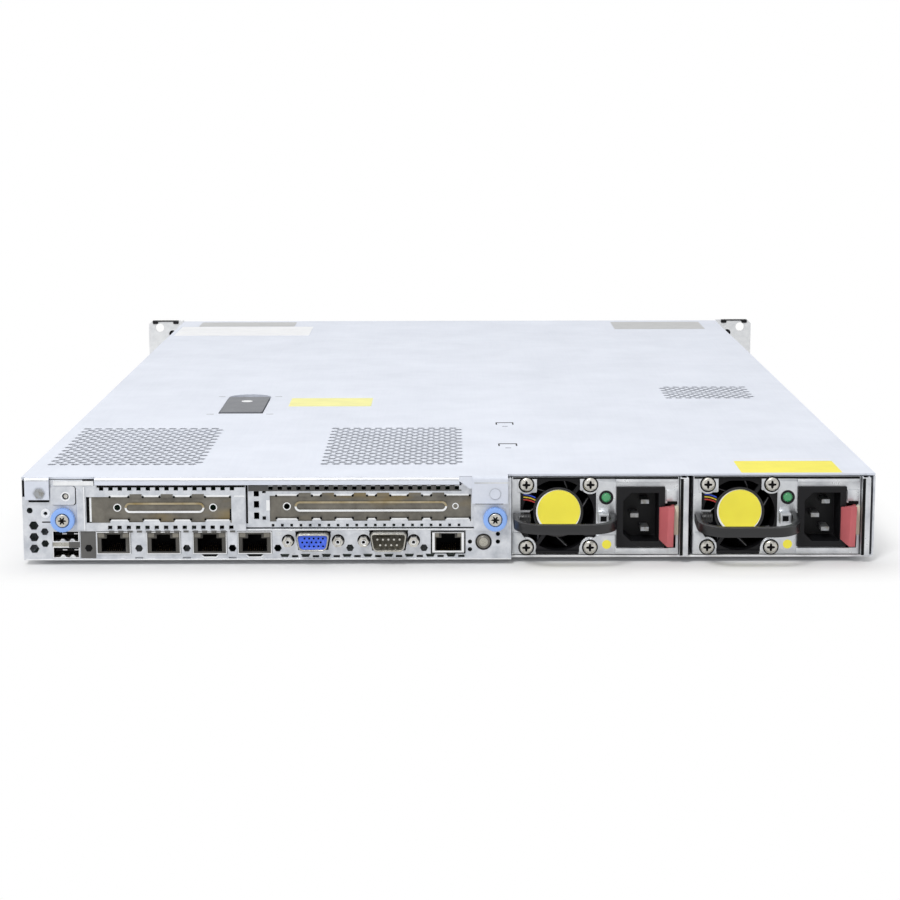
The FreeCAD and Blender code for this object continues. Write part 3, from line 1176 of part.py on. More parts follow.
def cpu_heat_sinks():
    """Heat sinks of both processors."""
    return Part.makeCompound([heat_sink(x) for x in PROCESSOR_CENTRES])


def fan_housings():
    """Row of fan housings across the chassis."""
    return Part.makeCompound([fan_frame(x, FAN_ROW, FAN_MIDDLE) for x in FAN_CENTRES])


def all_nodes():
    """Every piece of the server by node name."""
    nodes = {
        "chassis_tray": chassis_tray(),
        "rear_io_panel": rear_io_panel(),
        "psu_bay_frame": psu_bay_frame(),
        "front_top_plate": front_top_plate(),
        "rack_ears": rack_ears(),
        "ear_lever_left": ear_lever(-1),
        "ear_lever_right": ear_lever(1),
        "drive_cage": drive_cage(),
        "front_panel": front_panel(),
        "power_button": push_button(*POWER_BUTTON, FRONT + 1.6, 1, FRONT - FRONT_PANEL_DEPTH),
        "riser_cage": riser_cage(),
        "slot_covers": slot_covers(),
        "thumbscrew_left": thumbscrew(THUMB_CENTRES[0]),
        "thumbscrew_right": thumbscrew(THUMB_CENTRES[1]),
        "usb_ports": usb_ports(),
        "network_jacks": network_jacks(),
        "video_port": video_port(),
        "serial_port": serial_port(),
        "id_button": push_button(*ID_BUTTON, -1.6, -1, SHEET),
        "system_board": system_board(),
        "board_components": board_components(),
        "plug_in_boards": plug_in_boards(),
        "cpu_heat_sinks": cpu_heat_sinks(),
        "fan_housings": fan_housings(),
        "access_panel": access_panel(),
        "latch_lever": latch_lever(),
    }
    for number, x in enumerate(FAN_CENTRES, 1):
        nodes[f"fan_rotor_{number}"] = fan_rotor(x, FAN_ROW, FAN_MIDDLE)
    for column in range(DRIVE_COLUMNS):
        for row in range(DRIVE_ROWS):
            number = column * DRIVE_ROWS + row + 1
            nodes[f"drive_{number}"] = drive(column, row)
            nodes[f"drive_lever_{number}"] = drive_lever(column, row)
    for number, left in enumerate(PSU_LEFTS, 1):
        fan = (left + PSU_FAN_OFFSET, PSU_INNER, PSU_MIDDLE)
        nodes[f"psu_{number}_case"] = psu_case(left)
        nodes[f"psu_{number}_face"] = psu_face(left)
        nodes[f"psu_{number}_fan"] = fan_frame(*fan)
        nodes[f"psu_{number}_rotor"] = fan_rotor(*fan)
        nodes[f"psu_{number}_handle"] = psu_handle(left)
        nodes[f"psu_{number}_latch"] = psu_latch(left)
        nodes[f"psu_{number}_inlet"] = psu_inlet(left)
        nodes[f"psu_{number}_blades"] = psu_inlet_blades(left)
        nodes[f"psu_{number}_screws"] = psu_screws(left)
        nodes[f"psu_{number}_lamp"] = psu_lamp(left)
        nodes[f"psu_{number}_board"] = psu_board(left)
    return nodes


# The origin is the middle of the underside
TO_ORIGIN = Vector(0, -CHASSIS_LENGTH / 2, 0)

for name, shape in all_nodes().items():
    shape.translated(TO_ORIGIN).exportStep(f"parts/{name}.step")
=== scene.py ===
import json
import math

import bmesh
import bpy
from mathutils import Matrix, Vector


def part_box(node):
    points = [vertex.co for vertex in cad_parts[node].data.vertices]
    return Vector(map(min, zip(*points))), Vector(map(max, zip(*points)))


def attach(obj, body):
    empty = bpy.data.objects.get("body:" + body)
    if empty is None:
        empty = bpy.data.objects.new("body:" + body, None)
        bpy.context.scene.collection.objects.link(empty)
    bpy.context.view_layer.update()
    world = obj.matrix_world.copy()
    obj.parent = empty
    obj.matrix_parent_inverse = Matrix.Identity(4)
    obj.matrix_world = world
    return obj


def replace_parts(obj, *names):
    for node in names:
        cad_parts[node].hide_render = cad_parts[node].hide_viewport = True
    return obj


bl_info = {
    "name": "Rack Server Looks",
    "version": (1, 0, 0),
    "blender": (4, 5, 0),
    "location": "3D View > Sidebar > Server",
    "description": "Finishes, fittings and studio for a one-unit rack server seen from behind",
    "category": "Object",
}

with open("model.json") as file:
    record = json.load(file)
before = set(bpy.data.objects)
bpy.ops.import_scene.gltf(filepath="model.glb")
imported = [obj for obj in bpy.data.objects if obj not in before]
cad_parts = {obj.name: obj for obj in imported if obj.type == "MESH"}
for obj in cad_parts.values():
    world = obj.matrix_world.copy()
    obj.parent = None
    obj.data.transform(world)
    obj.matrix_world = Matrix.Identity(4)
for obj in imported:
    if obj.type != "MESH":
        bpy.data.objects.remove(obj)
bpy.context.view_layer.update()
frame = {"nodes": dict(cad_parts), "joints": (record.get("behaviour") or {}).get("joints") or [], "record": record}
NODES = frame["nodes"]
MM = 0.001
RIGHTWARD = Vector((1, 0, 0))
REARWARD = Vector((0, -1, 0))
FORWARD = Vector((0, 1, 0))
UPWARD = Vector((0, 0, 1))
WHITE = (1, 1, 1, 1)


# Places from the frame and shared sizes, in millimetres

def limits(node):
    """Lowest and highest corners of a CAD node."""
    low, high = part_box(node)
    return low / MM, high / MM


def opening_boxes(word):
    """Corners of the openings in the record whose name holds a word."""
    found = []
    for opening in frame["record"]["physics"]["openings"]:
        if word in opening["name"]:
            low, high = opening["box_m"]
            found.append((Vector(low) / MM, Vector(high) / MM))
    return found


def joint_place(name):
    """Pivot point of a joint."""
    joint = next(j for j in frame["joints"] if j["name"] == name)
    return Vector(joint["pos_m"]) / MM


REAR = limits("rear_io_panel")[0].y
LEFT = limits("rear_io_panel")[0].x
RIGHT = -LEFT
FRONT = limits("front_panel")[1].y
ROOF = limits("access_panel")[1].z
PANEL_END = limits("rear_io_panel")[1].x
# Sheet of the low and of the tall slot, and the middle heights of the slots and of the D-shaped connectors
LOW_FACE = REAR - 1.0
TALL_FACE = REAR + 1.6
SLOT_LINE = 26.8
PORT_LINE = 9.8
# Plane that the hinges of the handles stand on, and their inset from the ends of a handle
HINGE_ROOT = REAR + 4.9
HINGE_INSET = 3.45
# Spacing of the vent holes in the expansion cage
HOLE_PITCH = 4.65
# Thickness of the thinnest trim, of the dark shadow lines and of the marks on the roof
FILM = 0.1
SHADOW = 0.08
ROOF_MARK = 0.06
# Number of sides and rounding of the small front lamps
LAMP_SIDES = 16
LAMP_EDGE = 0.25
DRIVES = (1, 2, 3, 4)
FANS = (1, 2, 3, 4)
SUPPLIES = (1, 2)
# The two handles hang a little below level, the second more than the first
HANDLE_SAG = {1: math.radians(3.0), 2: math.radians(7.0)}


# Sizes and colours that a user may change

def linear(code):
    """Linear colour with full alpha from an sRGB hex code."""
    values = [int(code[start:start + 2], 16) / 255 for start in (1, 3, 5)]
    return [v / 12.92 if v <= 0.04045 else ((v + 0.055) / 1.055) ** 2.4 for v in values] + [1.0]


def paint(name, description, code):
    """Colour property with its default as a hex code."""
    return bpy.props.FloatVectorProperty(name=name, description=description, subtype="COLOR", size=4,
                                         min=0.0, max=1.0, default=linear(code))


def length(name, description, millimetres):
    """Length property with its default in millimetres."""
    return bpy.props.FloatProperty(name=name, description=description, unit="LENGTH",
                                   default=millimetres * MM)


class ServerColours(bpy.types.PropertyGroup):
    """Colours of the finishes"""
    cover: paint("Cover", "Light tone of the roof sheet", "#E0E4ED")
    cover_shade: paint("Cover shade", "Dark tone of the roof sheet", "#D8DCE5")
    zinc: paint("Zinc", "Light tone of the rear sheet metal", "#E8EAEE")
    zinc_shade: paint("Zinc shade", "Dark tone of the rear sheet metal", "#AEB3BB")
    bright: paint("Bright steel", "Light tone of the supply faces", "#E2E4E6")
    bright_shade: paint("Bright steel shade", "Dark tone of the supply faces", "#B9BCC1")
    dull: paint("Slot cover", "Light tone of the slot covers", "#807C73")
    dull_shade: paint("Slot cover shade", "Dark tone of the slot covers", "#5D5A54")
    dull_stain: paint("Slot cover stain", "Yellow-brown passivation stain", "#8A7850")
    nickel: paint("Nickel", "Light tone of the connector shells", "#CFCDC6")
    nickel_shade: paint("Nickel shade", "Dark tone of the connector shells", "#86837A")
    screw: paint("Screw", "Light tone of the screws", "#E6E4DE")
    screw_shade: paint("Screw shade", "Dark tone of the screws", "#8F8C84")
    black: paint("Black plastic", "Fans, inlets and levers", "#131316")
    lever: paint("Latch lever", "Lift lever in the roof", "#7C7E83")
    # Painted shade: mixed into the roof's holes and hollows by ambient occlusion
    punched: paint("Punched wall", "Walls of the holes in the roof", "#6E7076")
    # Also the colour of painted highlights along edges, and of the lightened rack ears
    burnished_and_highlight: paint("Burnished edge", "Bare edges of the sheet metal", "#F6F7F8")
    # Painted highlight along the fan blades' edges
    blade_highlight: paint("Worn edge", "Rubbed edges of the fan blades", "#77777A")
    tan_edge: paint("Tan edge", "Upper edge of the slot cover beads", "#B9AE96")
    # Also painted shadow in gaps, recesses and under tabs
    liner_and_shadow: paint("Socket liner", "Inside of the sockets", "#0C0C0D")
    grey: paint("Grey plastic", "Drive carriers", "#54575B")
    resin: paint("Socket resin", "Fronts of the network sockets", "#4E4C48")
    # Also painted shadow under the cover's edge
    film: paint("Dark film", "Insulating film beside the sockets", "#5B5A58")
    grip: paint("Grip", "Thumbscrew grips", "#8DB4F5")
    insert: paint("Video insert", "Insert of the video connector", "#3F66E6")
    # Also painted shade on the edge of the button's dome
    window: paint("Lamp window", "Windows in the network sockets", "#77736A")
    olive: paint("Serial insert", "Insert of the serial connector", "#4E4A3E")
    red: paint("Release red", "Supply latches", "#BC5D62")
    cream: paint("Cream", "Latch guides", "#DDD7C2")
    lens: paint("Lens", "Supply lamps", "#3B9A60")
    clear: paint("Frosted button", "Buttons", "#C4C0B2")
    board: paint("Solder mask", "Circuit boards", "#0F2A1B")
    aluminium: paint("Aluminium", "Heat sinks and disks", "#C6C9CE")
    gold: paint("Gold flash", "Contacts", "#C69C4E")
    disc: paint("Yellow disc", "Disc on each fan hub", "#FFF24A")
    paper: paint("White paper", "White labels", "#FCFDFF")
    pale_yellow: paint("Pale yellow", "Label beside the latch", "#FCF8A4")
    deep_yellow: paint("Deep yellow", "Label over the supplies", "#FCF04C")
    tan: paint("Grey-tan", "Labels at the front edge", "#C6C7C7")
    wire_blue: paint("Blue wire", "Fan wire", "#3355E0")
    wire_yellow: paint("Yellow wire", "Fan wire", "#E8CB3C")
    wire_red: paint("Red wire", "Fan wire", "#C43A36")
    floor: paint("Floor", "Studio floor", "#F4F4F5")


class ServerSizes(bpy.types.PropertyGroup):
    """Sizes of the fittings that the looks add"""
    label: length("Label thickness", "Paper and vinyl labels", 0.12)
    edge: length("Edge radius", "Rounding of moulded and folded edges", 0.3)
    disc_radius: length("Disc radius", "Yellow disc on a fan hub", 10.7)
    rim_radius: length("Rim radius", "White edge around the yellow disc", 11.2)
    wire_radius: length("Wire radius", "Fan wires", 0.36)
    blade: length("Blade thickness", "Fan blades", 0.9)
    shield: length("Shield", "Rim of the network socket shields", 0.4)
    window: length("Window", "Width of the lamp windows in the sockets", 3.0)
    contact: length("Contact", "Thickness of the socket contacts", 0.42)
    rib: length("Rib", "Ribs of the handle barrels", 0.7)
    rivet: length("Rivet", "Radius of the side rivets", 2.4)
    lamp: length("Lamp", "Radius of the small front lamps", 0.95)


def shade(name):
    """Colour as it stands in the scene."""
    return getattr(bpy.context.scene.server_colours, name)


def size(name):
    """Size in millimetres as it stands in the scene."""
    return getattr(bpy.context.scene.server_sizes, name) / MM


# Materials

def add_node(tree, kind, inputs=None, **settings):
    """Node with its settings; inputs maps a socket to a value or to the output that feeds it."""
    node = tree.nodes.new(kind)
    for name, value in settings.items():
        setattr(node, name, value)
    for socket, value in (inputs or {}).items():
        if isinstance(value, bpy.types.NodeSocket):
            tree.links.new(value, node.inputs[socket])
        else:
            node.inputs[socket].default_value = value
    return node


def finish(recipe):
    """Material that a recipe makes, built once and named after it."""
    name = recipe.__name__
    if name in bpy.data.materials:
        return bpy.data.materials[name]
    material = bpy.data.materials.new(name)
    material.use_nodes = True
    tree = material.node_tree
    tree.nodes.clear()
    add_node(tree, "ShaderNodeOutputMaterial", {"Surface": recipe(tree).outputs[0]})
    return material


def per_mm(millimetres):
    """Texture scale that repeats once in a length."""
    return 1 / (millimetres * MM)


def plated_sheet(tree, light, dark, cloud_mm, line_mm, roughness, contrast=0.5, metallic=1.0):
    """Plated metal in two named colours: soft clouds and fine rolling lines; a zinc coat is less metallic."""
    place = add_node(tree, "ShaderNodeTexCoord").outputs["Object"]
    cloud = add_node(tree, "ShaderNodeTexNoise",
                     {"Vector": place, "Scale": per_mm(cloud_mm), "Detail": 4.0, "Roughness": 0.62})
    spread = add_node(tree, "ShaderNodeMapRange",
                      {"Value": cloud.outputs[0], "From Min": 0.5 - contrast / 2,
                       "From Max": 0.5 + contrast / 2})
    tint = add_node(tree, "ShaderNodeMix", {0: spread.outputs[0], 6: shade(dark), 7: shade(light)},
                    data_type="RGBA")
    along = add_node(tree, "ShaderNodeMapping", {"Vector": place, "Scale": (1.0, 0.03, 1.0)})
    line = add_node(tree, "ShaderNodeTexNoise",
                    {"Vector": along.outputs[0], "Scale": per_mm(line_mm), "Detail": 2.0})
    both = add_node(tree, "ShaderNodeMath", {0: line.outputs[0], 1: cloud.outputs[0]}, operation="ADD")
    gloss = add_node(tree, "ShaderNodeMapRange",
                     {"Value": both.outputs[0], "From Min": 0.6, "From Max": 1.4,
                      "To Min": roughness + 0.1, "To Max": roughness - 0.1})
    bump = add_node(tree, "ShaderNodeBump",
                    {"Height": line.outputs[0], "Strength": 0.12, "Distance": 0.02 * MM})
    return add_node(tree, "ShaderNodeBsdfPrincipled",
                    {"Base Color": tint.outputs[2], "Metallic": metallic, "Roughness": gloss.outputs[0],
                     "Normal": bump.outputs[0]})


def cover_steel(tree):
    # Galvanised sheet, roller levelled and punched: pale, cool and nearly even, with painted shade in its holes
    # and hollows
    shader = plated_sheet(tree, "cover", "cover_shade", cloud_mm=46.0, line_mm=1.2, roughness=0.8,
                          metallic=0.5)
    tint = shader.inputs["Base Color"].links[0].from_socket
    # Painted shade: ambient occlusion mixes the dark hole colour into the holes and other hollows
    painted_hole_shade = add_node(tree, "ShaderNodeAmbientOcclusion", {"Distance": 8.0 * MM}, samples=6, only_local=True)
    mixed = add_node(tree, "ShaderNodeMix", {0: painted_hole_shade.outputs["AO"], 6: shade("punched"), 7: tint},
                     data_type="RGBA")
    tree.links.new(mixed.outputs[2], shader.inputs["Base Color"])
    return shader


def zinc_steel(tree):
    # Zinc-plated sheet, punched: handled plating with smudges a few millimetres across
    return plated_sheet(tree, "zinc", "zinc_shade", cloud_mm=5.5, line_mm=0.6, roughness=0.4,
                        contrast=0.7, metallic=0.6)


def bright_steel(tree):
    # Bright nickel-plated sheet, folded: the lightest metal, with soft shaded patches
    return plated_sheet(tree, "bright", "bright_shade", cloud_mm=9.0, line_mm=0.5, roughness=0.34,
                        metallic=0.7)


def connector_tin(tree):
    # Tin-plated shell, drawn: warm silver that darkens in patches
    return plated_sheet(tree, "nickel", "nickel_shade", cloud_mm=2.4, line_mm=0.4, roughness=0.3,
                        contrast=0.7, metallic=0.7)


def nickel_screw(tree):
    # Nickel-plated screw, cold headed: warm silver; the dark hollows of its heads are painted shade
    return plated_sheet(tree, "screw", "screw_shade", cloud_mm=1.6, line_mm=0.3, roughness=0.26,
                        contrast=0.7)


def burnished_and_painted_highlight(tree):
    # Bare bright metal, and painted highlights along edges: the lightest lines around the openings
    return plated_sheet(tree, "burnished_and_highlight", "bright", cloud_mm=4.0, line_mm=0.4, roughness=0.36,
                        metallic=0.25)


def cast_aluminium(tree):
    # Aluminium, cast and milled: neutral silver with fine tool lines
    return plated_sheet(tree, "aluminium", "zinc_shade", cloud_mm=12.0, line_mm=0.4, roughness=0.38)


def gold_flash(tree):
    # Gold-flashed contact strip, stamped: warm yellow metal with worn grey spots
    return plated_sheet(tree, "gold", "nickel_shade", cloud_mm=0.9, line_mm=0.2, roughness=0.28)


def slot_cover_steel(tree):
    # Dull passivated sheet, pressed: dark warm grey with yellow-brown stains a few centimetres long
    shader = plated_sheet(tree, "dull", "dull_shade", cloud_mm=7.0, line_mm=0.5, roughness=0.42,
                          metallic=0.7)
    tint = shader.inputs["Base Color"].links[0].from_socket
    place = add_node(tree, "ShaderNodeTexCoord").outputs["Object"]
    stretched = add_node(tree, "ShaderNodeMapping", {"Vector": place, "Scale": (0.35, 1.0, 1.0)})
    stain = add_node(tree, "ShaderNodeTexNoise",
                     {"Vector": stretched.outputs[0], "Scale": per_mm(14.0), "Detail": 3.0})
    mask = add_node(tree, "ShaderNodeMapRange",
                    {"Value": stain.outputs[0], "From Min": 0.5, "From Max": 0.66, "To Max": 0.75})
    mixed = add_node(tree, "ShaderNodeMix", {0: mask.outputs[0], 6: tint, 7: shade("dull_stain")},
                     data_type="RGBA")
    tree.links.new(mixed.outputs[2], shader.inputs["Base Color"])
    return shader


def pressed_steel_painted_shade(tree):
    # Galvanised sheet, stamped hard: duller and darker than the sheet around it, painted shade on pressed marks
    # and on deep contact blades
    return plated_sheet(tree, "zinc_shade", "nickel_shade", cloud_mm=1.8, line_mm=0.5, roughness=0.55)


def tan_steel(tree):
    # Yellow-passivated edge, rubbed: tan line along the top of a bead
    return plated_sheet(tree, "tan_edge", "dull_stain", cloud_mm=6.0, line_mm=0.5, roughness=0.4)


def moulded(tree, colour, grain_mm, roughness, drift=0.16, grain_depth_mm=0.01, specular=0.5):
    """Moulded plastic in a named colour: slow drift in tone and a fine grain that breaks up the gloss."""
    place = add_node(tree, "ShaderNodeTexCoord").outputs["Object"]
    cloud = add_node(tree, "ShaderNodeTexNoise", {"Vector": place, "Scale": per_mm(14.0), "Detail": 3.0})
    lift = add_node(tree, "ShaderNodeMapRange",
                    {"Value": cloud.outputs[0], "From Min": 0.3, "From Max": 0.7,
                     "To Min": 1.0 - drift, "To Max": 1.0 + drift})
    tint = add_node(tree, "ShaderNodeHueSaturation", {"Value": lift.outputs[0], "Color": shade(colour)})
    grain = add_node(tree, "ShaderNodeTexNoise", {"Vector": place, "Scale": per_mm(grain_mm), "Detail": 2.0})
    gloss = add_node(tree, "ShaderNodeMapRange",
                     {"Value": grain.outputs[0], "From Min": 0.3, "From Max": 0.7,
                      "To Min": roughness - 0.06, "To Max": roughness + 0.06})
    bump = add_node(tree, "ShaderNodeBump",
                    {"Height": grain.outputs[0], "Strength": 0.3, "Distance": grain_depth_mm * MM})
    return add_node(tree, "ShaderNodeBsdfPrincipled",
                    {"Base Color": tint.outputs[0], "Roughness": gloss.outputs[0], "IOR": 1.53,
                     "Specular IOR Level": specular, "Normal": bump.outputs[0]})


def black_abs(tree):
    # Glass-filled ABS, moulded: near black with a soft sheen on its edges
    return moulded(tree, "black", grain_mm=0.5, roughness=0.42, specular=0.2)


def painted_blade_highlight(tree):
    # Black ABS with a painted highlight: the thin light line along the blades' edges
    return moulded(tree, "blade_highlight", grain_mm=0.5, roughness=0.35)


def lever_nylon(tree):
    # Grey filled nylon, moulded: dull mid grey of the lift lever
    return moulded(tree, "lever", grain_mm=0.7, roughness=0.55, drift=0.1, specular=0.2)


def handle_nylon(tree):
    # Nylon, moulded and handled: black, smooth enough for long highlights
    return moulded(tree, "black", grain_mm=0.8, roughness=0.34, specular=0.5)


def liner_and_painted_shadow(tree):
    # Black nylon, moulded: the dark inside of the sockets, also used as painted shadow in gaps, recesses and under
    # tabs
    return moulded(tree, "liner_and_shadow", grain_mm=0.5, roughness=0.6, specular=0.1)


def socket_resin(tree):
    # Dark filled nylon, moulded: brown-grey front of the network sockets
    return moulded(tree, "resin", grain_mm=0.5, roughness=0.5, specular=0.3)


def carrier_plastic(tree):
    # Grey polycarbonate blend, moulded: satin mid grey
    return moulded(tree, "grey", grain_mm=0.6, roughness=0.45)


def dark_film_and_painted_shadow(tree):
    # Polyester film, die cut: flat dark grey with a slight sheen; also used as painted shadow under the cover's
    # edge
    return moulded(tree, "film", grain_mm=1.2, roughness=0.5)


def grip_plastic(tree):
    # Blue ABS, moulded: clean light blue, semi-matt
    return moulded(tree, "grip", grain_mm=0.5, roughness=0.42, drift=0.05)


def video_plastic(tree):
    # Blue polyester resin, moulded: strong blue, satin
    return moulded(tree, "insert", grain_mm=0.4, roughness=0.45, drift=0.08)


def serial_plastic(tree):
    # Dark filled resin, moulded: olive grey in the depth of the shell
    return moulded(tree, "olive", grain_mm=0.5, roughness=0.5)


def release_plastic(tree):
    # Dull red ABS, moulded: touch colour of the release latches
    return moulded(tree, "red", grain_mm=0.7, roughness=0.48, drift=0.08)


def cream_plastic(tree):
    # Natural nylon, moulded: cream, slightly waxy
    return moulded(tree, "cream", grain_mm=0.6, roughness=0.42, drift=0.06)


def frosted_plastic(tree):
    # Frosted polycarbonate, moulded: cloudy lamp windows and buttons
    shader = moulded(tree, "clear", grain_mm=0.4, roughness=0.3, drift=0.2)
    shader.inputs["Transmission Weight"].default_value = 0.25
    return shader


def smoked_plastic_and_shade(tree):
    # Smoked polycarbonate, moulded: unlit lamp windows beside a socket; also painted shade on the edge of the
    # button's dome
    return moulded(tree, "window", grain_mm=0.4, roughness=0.3, drift=0.25)


def lamp_lens(tree):
    # Tinted acrylic lens, moulded: wet green with a bright glint
    shader = moulded(tree, "lens", grain_mm=0.9, roughness=0.12, drift=0.25)
    shader.inputs["Coat Weight"].default_value = 0.6
    return shader


def solder_mask(tree):
    # Glass-epoxy board with solder mask, laminated: glossy green that changes slowly in tone
    return moulded(tree, "board", grain_mm=2.0, roughness=0.3, drift=0.3)


def label_stock(tree, colour):
    """Coated label stock: even tone with fibres and slight handling marks."""
    return moulded(tree, colour, grain_mm=0.7, roughness=0.55, drift=0.04, grain_depth_mm=0.02)


def yellow_disc_vinyl(tree):
    # Yellow vinyl, die cut: bright and even
    return label_stock(tree, "disc")


def white_paper(tree):
    # White paper label: cool white, matt
    return label_stock(tree, "paper")


def pale_yellow_paper(tree):
    # Pale yellow paper label: matt, a little faded
    return label_stock(tree, "pale_yellow")


def deep_yellow_paper(tree):
    # Deep yellow paper label: matt
    return label_stock(tree, "deep_yellow")


def tan_paper(tree):
    # Grey-tan paper label: matt, aged
    return label_stock(tree, "tan")


def blue_wire(tree):
    # PVC wire insulation, extruded: smooth blue
    return moulded(tree, "wire_blue", grain_mm=1.5, roughness=0.35, drift=0.05)


def yellow_wire(tree):
    # PVC wire insulation, extruded: smooth yellow
    return moulded(tree, "wire_yellow", grain_mm=1.5, roughness=0.35, drift=0.05)


def red_wire(tree):
    # PVC wire insulation, extruded: smooth red
    return moulded(tree, "wire_red", grain_mm=1.5, roughness=0.35, drift=0.05)


def studio_floor(tree):
    # Matt white paper sweep: keeps the shadow near the object and fades to pure white further out
    # Half lengths of the area that keeps the shadow, and the fade around it, in metres
    half_of_shadow = (0.2, 0.34, 0.0)
    fade_width = 0.05
    place = add_node(tree, "ShaderNodeTexCoord").outputs["Object"]
    fibre = add_node(tree, "ShaderNodeTexNoise", {"Vector": place, "Scale": per_mm(30.0), "Detail": 2.0})
    tint = add_node(tree, "ShaderNodeMix",
                    {0: fibre.outputs[0], 6: shade("floor"), 7: (0.92, 0.92, 0.92, 1)}, data_type="RGBA")
    paper = add_node(tree, "ShaderNodeBsdfPrincipled", {"Base Color": tint.outputs[2], "Roughness": 0.9})
    white = add_node(tree, "ShaderNodeEmission", {"Color": WHITE, "Strength": 1.0})
    fold = add_node(tree, "ShaderNodeVectorMath", {0: place}, operation="ABSOLUTE")
    past = add_node(tree, "ShaderNodeVectorMath", {0: fold.outputs[0], 1: half_of_shadow},
                    operation="SUBTRACT")
    out = add_node(tree, "ShaderNodeVectorMath", {0: past.outputs[0], 1: (0.0, 0.0, 0.0)},
                   operation="MAXIMUM")
    apart = add_node(tree, "ShaderNodeVectorMath", {0: out.outputs[0]}, operation="LENGTH")
    fade = add_node(tree, "ShaderNodeMapRange",
                    {"Value": apart.outputs["Value"], "From Min": 0.0, "From Max": fade_width})
    path = add_node(tree, "ShaderNodeLightPath").outputs
    seen = add_node(tree, "ShaderNodeMath", {0: path["Is Camera Ray"], 1: path["Is Glossy Ray"]},
                    operation="MAXIMUM")
    share = add_node(tree, "ShaderNodeMath", {0: fade.outputs[0], 1: seen.outputs[0]}, operation="MULTIPLY")
    return add_node(tree, "ShaderNodeMixShader",
                    {0: share.outputs[0], 1: paper.outputs[0], 2: white.outputs[0]})


# Mesh helpers, in millimetres

# Degrees: faces that turn less than the first are one flat, edges that turn more than the second are sharp
FLAT_ANGLE = 0.5
SHARP_ANGLE = 40.0


def span(first, last):
    """Places in x at two distances from the rear panel's left edge."""
    return LEFT + first, LEFT + last


def centre(low, high):
    """Middle in x and in z between two corners."""
    return (low.x + high.x) / 2, (low.z + high.z) / 2


def verts_of(made):
    """Vertices among the things that a mesh operator made."""
    return [g for g in made if isinstance(g, bmesh.types.BMVert)]


def behind(y):
    """Placing of flat points on an upright plane that faces the rear."""
    return lambda u, v: Vector((u, y, v))


def above(z):
    """Placing of flat points on a level plane."""
    return lambda u, v: Vector((u, v, z))


def beside(x):
    """Placing of flat points on an upright plane that faces a side."""
    return lambda u, v: Vector((x, u, v))


def flat_face(bm, points, place):
    """Face through flat points."""
    return bm.faces.new([bm.verts.new(place(u, v)) for u, v in points])


def rectangle(u_limits, v_limits):
    """Corners of a rectangle, anticlockwise."""
    (u0, u1), (v0, v1) = u_limits, v_limits
    return [(u0, v0), (u1, v0), (u1, v1), (u0, v1)]


def lobed(u, v, radius, depth=0.0, lobes=0, points=36):
    """Points around a circle whose radius swells once for each lobe."""
    outline = []
    for step in range(points):
        angle = 2 * math.pi * step / points
        reach = radius + depth * math.cos(lobes * angle)
        outline.append((u + reach * math.cos(angle), v + reach * math.sin(angle)))
    return outline


def push(bm, face, vector):
    """Extrude a face and return the face at the new end."""
    made = bmesh.ops.extrude_face_region(bm, geom=[face, *face.edges])["geom"]
    bmesh.ops.translate(bm, vec=vector, verts=verts_of(made))
    return next(g for g in made if isinstance(g, bmesh.types.BMFace))


def round_corners(bm, face, radius, segments=5):
    """Round the corners of a lone face and return it."""
    made = bmesh.ops.bevel(bm, geom=list(face.verts), offset=radius, offset_type="OFFSET", affect="VERTICES",
                           segments=segments, profile=0.5, material=-1)
    return made["verts"][0].link_faces[0]


def block(bm, points, place, vector, corner=0.0):
    """Closed block from a flat outline, its corners rounded where asked; returns its far face."""
    face = flat_face(bm, points, place)
    if corner:
        face = round_corners(bm, face, corner)
    return push(bm, face, vector)


def sink(bm, face, rim, vector):
    """Inset a face by a rim, press it in and return it."""
    bmesh.ops.inset_individual(bm, faces=[face], thickness=rim, use_even_offset=True)
    return push(bm, face, vector)


def rod(bm, start, axis, radius, reach, segments=24, end_radius=None):
    """Round bar or cone from a start point along an axis; returns its vertices."""
    turn = UPWARD.rotation_difference(axis).to_matrix().to_4x4()
    place = Matrix.Translation(Vector(start) + axis * reach / 2) @ turn
    end = radius if end_radius is None else end_radius
    made = bmesh.ops.create_cone(bm, cap_ends=True, segments=segments, radius1=radius, radius2=end,
                                 depth=reach, matrix=place)
    return made["verts"]


def soften(bm, width, angle=SHARP_ANGLE, segments=2):
    """Round the sharp edges of a mesh."""
    sharp = [e for e in bm.edges if e.is_manifold and e.calc_face_angle() > math.radians(angle)]
    bmesh.ops.bevel(bm, geom=sharp, offset=width, offset_type="OFFSET", affect="EDGES", segments=segments,
                    profile=0.5, material=-1, clamp_overlap=True)


def draw_out(bm, edges, vector):
    """Extrude a loop of edges and return the far loop."""
    made = bmesh.ops.extrude_edge_only(bm, edges=edges)["geom"]
    moved = set(verts_of(made))
    bmesh.ops.translate(bm, vec=vector, verts=list(moved))
    return [g for g in made if isinstance(g, bmesh.types.BMEdge) and moved.issuperset(g.verts)]


def loop(bm, points, place):
    """Closed loop of edges through flat points."""
    verts = [bm.verts.new(place(u, v)) for u, v in points]
    return [bm.edges.new(pair) for pair in zip(verts, verts[1:] + verts[:1])]


def ring(bm, outer, inner, place, vector):
    """Closed ring between two flat outlines."""
    edges = loop(bm, outer, place) + loop(bm, inner, place)
    flat = bmesh.ops.bridge_loops(bm, edges=edges)["faces"]
    made = bmesh.ops.extrude_face_region(bm, geom=flat)["geom"]
    bmesh.ops.translate(bm, vec=vector, verts=verts_of(made))


def washer(bm, u, v, y, vector, outer, inner, points=36):
    """Round ring between two radii, drawn from an upright plane."""
    ring(bm, lobed(u, v, outer, points=points), lobed(u, v, inner, points=points), behind(y), vector)


def add_plates(bm, patches):
    """Upright plates; a patch is an outline, the y of its back, a thickness and maybe a corner radius."""
    for outline, y, thickness, *corner in patches:
        block(bm, outline, behind(y), REARWARD * thickness, *corner)


